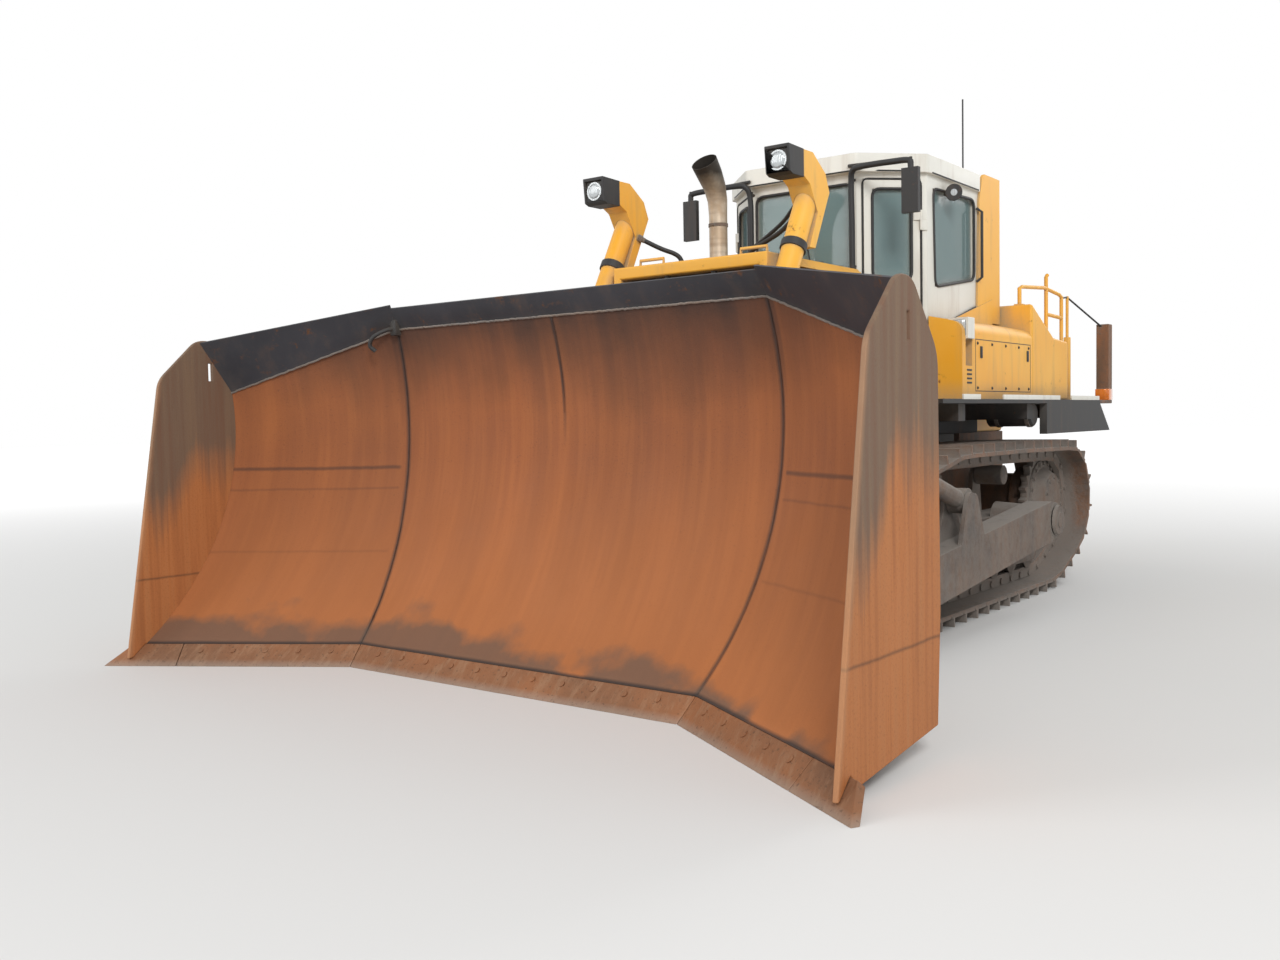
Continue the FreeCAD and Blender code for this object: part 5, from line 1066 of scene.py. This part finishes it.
# Pods, tank and decks
rear = {
    "headLens": ((0.957, 3.67, 1.947), (1.073, 3.682, 2.063)),
    # station and height of the latches' low corners, then the panel's own edges and its face
    "podLatches": ((3.95, 1.8), (4.92, 1.8)), "panelStations": (3.86, 5.00), "panelHeights": (1.56, 1.93),
    "podFace": (1.069, 1.0712), "edgeWidth": 0.005, "drumBands": (1.1, 0.86),
    "podBolts": ((3.9, 4.18, 4.46, 4.74, 4.96), (1.585, 1.905)),
    "sill": ((3.76, 2.02), (4.2, 2.135), (4.52, 2.222)),
    "rails": (((5.1, 2.2), (5.1, 2.4), (5.16, 2.415), (5.74, 2.45)),
              ((5.74, 1.98), (5.74, 2.54), (5.77, 2.56)),
              ((5.74, 2.445), (6.07, 2.42), (6.14, 2.4), (6.14, 2.3), (6.14, 1.98)),
              ((5.74, 2.23), (6.14, 2.22))),
    "railX": 0.95, "railFeet": ((5.1, 2.272), (5.74, 2.055), (6.14, 2.0)),
    "chainRail": ((0.95, 6.155, 2.395), (0.95, 6.3, 2.41), (1.15, 6.66, 2.15)),
    "postFoot": ((1.094, 6.632, 1.5), (1.216, 6.745, 1.6)),
    "fillerCap": ((0, 0.075), (0.014, 0.075), (0.018, 0.058), (0.045, 0.058), (0.052, 0.046)),
    "panelBolts": ((-0.38, -0.13, 0.13, 0.38), (1.63, 1.9)),
    # name, finish, from x, to x, and the shell's edge round it
    "tailLamps": (("tailLampCases", "black", 0.56, 0.72, 6.196, 6.216, 1.72, 1.82),
                  ("tailLamps", "redLens", 0.57, 0.635, 6.212, 6.224, 1.73, 1.81),
                  ("turnLamps", "orange", 0.645, 0.71, 6.212, 6.224, 1.73, 1.81)),
    "tread": {"pitch": 0.045, "from": 2.99, "to": 6.36, "columns": (1.095, 1.14, 1.185), "height": 1.5008,
              "turn": 40, "bar": (0.026, 0.006, 0.003)},
    "strips": ((3.3, 3.6), (4.05, 5.3), (5.6, 6.36)),
}
low, high = (at(*spot) for spot in rear["headLens"])
Shape().box(low, high, 0.01).mirrored().done("headLenses", "lens")
low, high = low + Vector((-0.012, 0.01, -0.012)), high + Vector((0.012, 0.006, 0.012))
Shape().box(low, high, 0.004).mirrored().done("headBezels", "black")
podTrim = Shape()
for station, height in rear["podLatches"]:
    podTrim.box((1.068, station, height), (1.078, station + 0.035, height + 0.085), 0.004)
(first, last), (foot, top) = rear["panelStations"], rear["panelHeights"]
inner, outer = rear["podFace"]
for station in (first, last):
    podTrim.box((inner, station, foot), (outer, station + rear["edgeWidth"], top))
for height in (foot, top):
    podTrim.box((inner, first, height), (outer, last + rear["edgeWidth"], height + rear["edgeWidth"]))
podTrim.mirrored().done("podPanelGaps", "rubber")
slats("podLouvres", both([at(1.0705, 3.745, 1.62 + 0.03 * row) for row in range(4)]),
      (0.006, 0.085, 0.012), "rubber")
stations, heights = rear["podBolts"]
podSpots = [(1.07, station, height) for station in stations for height in heights]
bolts("podBolts", bothFacing(leftward, podSpots), "black", 0.008, 0.006)
Shape().tube([(0.812, *spot) for spot in rear["sill"]], 0.006, 6).mirrored().done("sillBeads", "rubber")
rails = Shape()
for route in rear["rails"]:
    rails.tube([(rear["railX"], *spot) for spot in route], 0.016, 12)
for station, height in rear["railFeet"]:
    rails.box((0.915, station - 0.035, height - 0.012), (0.985, station + 0.035, height), 0.003)
rails.mirrored().done("railTubes", "yellow", "tractor", ("hand_rails",), smooth=50)
Shape().box((0.925, 6.275, 1.498), (0.975, 6.325, 2.06), 0.006).tube(
    [(0.95, 6.3, 2.05), (0.95, 6.3, 2.42)], 0.013).done("deckPost", "yellow")
Shape().tube(rear["chainRail"], 0.008, 8).done("chainRail", "rubber")
Shape().box(*rear["postFoot"], 0.004).done("postFoot", "orange")
Shape().wheel((0.45, 5.28, 2.268), upward, rear["fillerCap"], 28).box(
    (0.405, 5.272, 2.316), (0.495, 5.288, 2.334), 0.005).done("fillerCap", "black")
Shape().box((-0.42, 6.1985, 1.6), (0.42, 6.2025, 1.93), 0.001).done("rearPanel", "yellow")
across, heights = rear["panelBolts"]
bolts("rearPanelBolts", [((x, 6.2025, height), (0, 1, 0)) for x in across for height in heights],
      "black", 0.009, 0.007)
for name, finish, fromX, toX, front, back, foot, top in rear["tailLamps"]:
    Shape().box((fromX, front, foot), (toX, back, top), 0.005).mirrored().done(name, finish)
tread = rear["tread"]
spots = []
count = int((tread["to"] - tread["from"]) / tread["pitch"])
for column, x in enumerate(tread["columns"]):
    spots += [at(x, tread["from"] + (row + column % 2 * 0.5) * tread["pitch"], tread["height"])
              for row in range(count)]
for name, start, turn in (("treadBarsOne", 0, tread["turn"]), ("treadBarsTwo", 1, -tread["turn"])):
    slats(name, both(spots[start::2]), tread["bar"], "black", turn=(0, 0, math.radians(turn)))
strips = Shape()
for start, end in rear["strips"]:
    strips.box((1.196, start, 1.498), (1.212, end, 1.534), 0.003)
strips.mirrored().done("deckEdgeStrips", "white")
drumBands = Shape()
for x in rear["drumBands"]:
    drumBands.band((x, 4.86, 1.3845), leftward, 0.0925, 0.099, 0.03)
drumBands.mirrored().done("drumBands", "dusty")
print("rear detailed")

# Running gear: bolts and pin ends where the shoes are, hub bolts, plugs and eye rings
gear = {
    "gauge": 1.9, "shoeArea": (0.068, 0.098), "boltAcross": (-0.105, -0.055, 0.055, 0.105),
    "boltAlong": (-0.038, 0.03), "pinBack": 0.1265, "pinBelow": 0.065, "linkFaces": (-0.1055, 0.1055),
    "hub": (5.52, 0.68),
    # x, radius, count, first step and the way that each circle of hub bolts faces
    "hubCircles": ((0.997, 0.293, 20, 0, leftward), (1.082, 0.178, 10, 0.5, (1, 0.02, 0.02))),
    "plug": ((0, 0.06), (0.006, 0.06), (0.01, 0.045)),
    "ball": (0.88, 0.3, 0.072), "ballTurns": (0.6, 2.17, 3.74, 5.31), "eye": (4.25, 0.62),
}


def shoeFaces(name):
    shell = shellOf(name)
    found = [(face.calc_center_median(), face.normal.copy()) for face in shell.faces
             if gear["shoeArea"][0] < face.calc_area() < gear["shoeArea"][1] and abs(face.normal.x) < 0.01]
    shell.free()
    return found


def onCircle(x, station, height, radius, turn):
    return at(x, station + radius * math.cos(turn), height + radius * math.sin(turn))


for side, word in flanks:
    boltSpots, pinSpots = [], []
    for centre, normal in shoeFaces(word + "_track"):
        along = Vector((0, -normal.z, normal.y))
        boltSpots += [(centre + Vector((across, 0, 0)) + along * back, normal)
                      for across in gear["boltAcross"] for back in gear["boltAlong"]]
        pin = centre - along * gear["pinBack"] - normal * gear["pinBelow"]
        pinSpots += [(Vector((side * gear["gauge"] / 2 + face, pin.y, pin.z)),
                      (math.copysign(1, face), 0, 0)) for face in gear["linkFaces"]]
    print(word, "shoes:", len(pinSpots) // 2)
    bolts(word + "ShoeBolts", boltSpots, "track", 0.012, 0.01, washer=1.0)
    bolts(word + "PinEnds", pinSpots, "track", 0.024, 0.008, corners=14, washer=1.25)
hubBolts = [(onCircle(x, *gear["hub"], radius, 2 * math.pi * (step + first) / count), way)
            for x, radius, count, first, way in gear["hubCircles"] for step in range(count)]
bolts("hubBolts", bothWays(hubBolts), "dusty", 0.014, 0.012)
Shape().wheel((1.095, *gear["hub"]), leftward, gear["plug"]).mirrored().done("hubPlugs", "dusty")
for side, word in flanks:
    bolts(word + "BallBolts", [(onCircle(side * 1.512, *gear["ball"], turn), (side, 0, 0))
                               for turn in gear["ballTurns"]], "dusty", 0.013, 0.01, word + "_arm")
    Shape().band((side * 1.505, *gear["eye"]), (side, 0, 0), 0.1, 0.128, 0.008).done(
        word + "EyeRing", "dusty", word + "_arm")
print("running gear detailed")

# Seat: two cushions blown up as cloth, with sewn channels and piping
seat = {
    "voxel": 0.011, "pressure": 4.0, "frames": 20, "cap": 0.012, "halfWidth": 0.262,
    "channelDepth": 0.009, "channelWidth": 0.008,
    "cushions": (
        # name, low corner, high corner, way that it crowns, where its channels run
        ("seatCushion", (-0.245, 3.975, 1.868), (0.245, 4.45, 1.972), 2, (-0.15, 0.15)),
        ("seatBack", (-0.225, 4.472, 1.945), (0.225, 4.572, 2.64), 1, (-0.14, 0.14)),
    ),
    # the piping's rounding and corners
    "piping": (
        (0.04, (-0.243, 3.98, 1.975), (0.243, 3.98, 1.975), (0.243, 4.445, 1.975), (-0.243, 4.445, 1.975)),
        (0.05, (-0.222, 4.47, 1.955), (0.222, 4.47, 1.955), (0.222, 4.47, 2.63), (-0.222, 4.47, 2.63)),
    ), "pipingRadius": 0.0045,
}


def blownUp(name, even):
    # the cushion's cloth under pressure, with each corner's way out kept under the cap
    blown = placed(name + "Blown", even)
    cloth = blown.modifiers.new("cloth", "CLOTH")
    cloth.settings.use_pressure = True
    cloth.settings.uniform_pressure_force = seat["pressure"]
    cloth.settings.effector_weights.gravity = 0
    for step in range(1, seat["frames"] + 1):
        scene.frame_set(step)
    swollen = frozen(blown)
    for before, after in zip(even.vertices, swollen.vertices):
        shift = after.co - before.co
        if shift.length > seat["cap"]:
            after.co = before.co + shift.normalized() * seat["cap"]
    bpy.data.objects.remove(blown)
    scene.frame_set(1)
    return swollen


def cushion(name, low, high, crown, channels):
    holder = placed(name + "Form", Shape().box(low, high, 0.03, 3).mesh(name))
    remesh = holder.modifiers.new("even", "REMESH")
    remesh.mode = "VOXEL"
    remesh.voxel_size = seat["voxel"]
    even = frozen(holder)
    bpy.data.objects.remove(holder)
    even = blownUp(name, even)
    middle, half = (low + high) / 2, (high - low) / 2
    for corner in even.vertices:
        for channel in channels:
            depth = seat["channelDepth"] * math.exp(-((corner.co.x - channel) / seat["channelWidth"]) ** 2)
            reach = (corner.co[crown] - middle[crown]) / half[crown]
            if (reach > 0.3) == (crown == 2) and abs(reach) > 0.3:
                corner.co[crown] -= math.copysign(depth, reach)
        corner.co.x = max(-seat["halfWidth"], min(seat["halfWidth"], corner.co.x))
    piece = settle(name, even, "cloth", "tractor", ("seat",), smooth=80)
    finer = piece.modifiers.new("finer", "SUBSURF")
    finer.levels = finer.render_levels = 1


for name, low, high, crown, channels in seat["cushions"]:
    cushion(name, at(*low), at(*high), crown, channels)
piping = Shape()
for radius, *corners in seat["piping"]:
    piping.tube(rounded(corners, radius), seat["pipingRadius"], 8, closed=True)
piping.done("seatPiping", "rubber", smooth=60)
print("seat made")

# Floor, sky and lamps
stageLook = {
    "floor": (0.74, 0.74, 0.73), "sky": (1.0, 1.0, 1.0), "light": 0.46, "shown": 1.0, "half": 90.0,
    "fadeAt": 12.0, "fade": 16.0, "aim": (0, -0.5, 1.0),
    "lamps": (
        # name, place, strength, width
        ("keyLamp", (13, -14, 13), 2600, 6),
        ("fillLamp", (-11, -14, 8), 800, 9),
        ("backLamp", (3, 16, 10), 700, 9),
    ),
}


def makeStage():
    mesh = bpy.data.meshes.new("studioFloor")
    half = stageLook["half"]
    mesh.from_pydata([(-half, -half, 0), (half, -half, 0), (half, half, 0), (-half, half, 0)], [],
                     [(0, 1, 2, 3)])
    floor = placed("studioFloor", mesh)
    # past the machine the floor gives way to the backdrop's own tone, so no horizon shows
    pale = Finish("paleFloor", Emission_Strength=1.0)
    away = ((pale.x * pale.x + pale.y * pale.y) ** 0.5).above(stageLook["fadeAt"], stageLook["fade"])
    shown = tuple(part * stageLook["shown"] for part in stageLook["sky"])
    pale.feed("Emission Color", pale.mix(away, (0, 0, 0), shown))
    mesh.materials.append(pale.close(pale.mix(away, stageLook["floor"], (0, 0, 0)), 0.9))
    world = bpy.data.worlds.new("studio")
    scene.world = world
    world.use_nodes = True
    tree = world.node_tree
    backdrop = tree.nodes["Background"]
    ray = addNode(tree, "ShaderNodeLightPath")
    seen = ray["Is Camera Ray"].atLeast(ray["Is Glossy Ray"]).atLeast(ray["Is Transmission Ray"])
    plug(tree, backdrop.inputs["Color"], stageLook["sky"])
    plug(tree, backdrop.inputs["Strength"],
         seen * (stageLook["shown"] - stageLook["light"]) + stageLook["light"])
    for name, place, strength, width in stageLook["lamps"]:
        data = bpy.data.lights.new(name, "AREA")
        data.energy = strength
        data.size = width
        aim = Vector(stageLook["aim"]) - Vector(place)
        turn = aim.to_track_quat("-Z", "Y").to_matrix().to_4x4()
        placed(name, data).matrix_world = Matrix.Translation(place) @ turn


makeStage()
print("stage set")
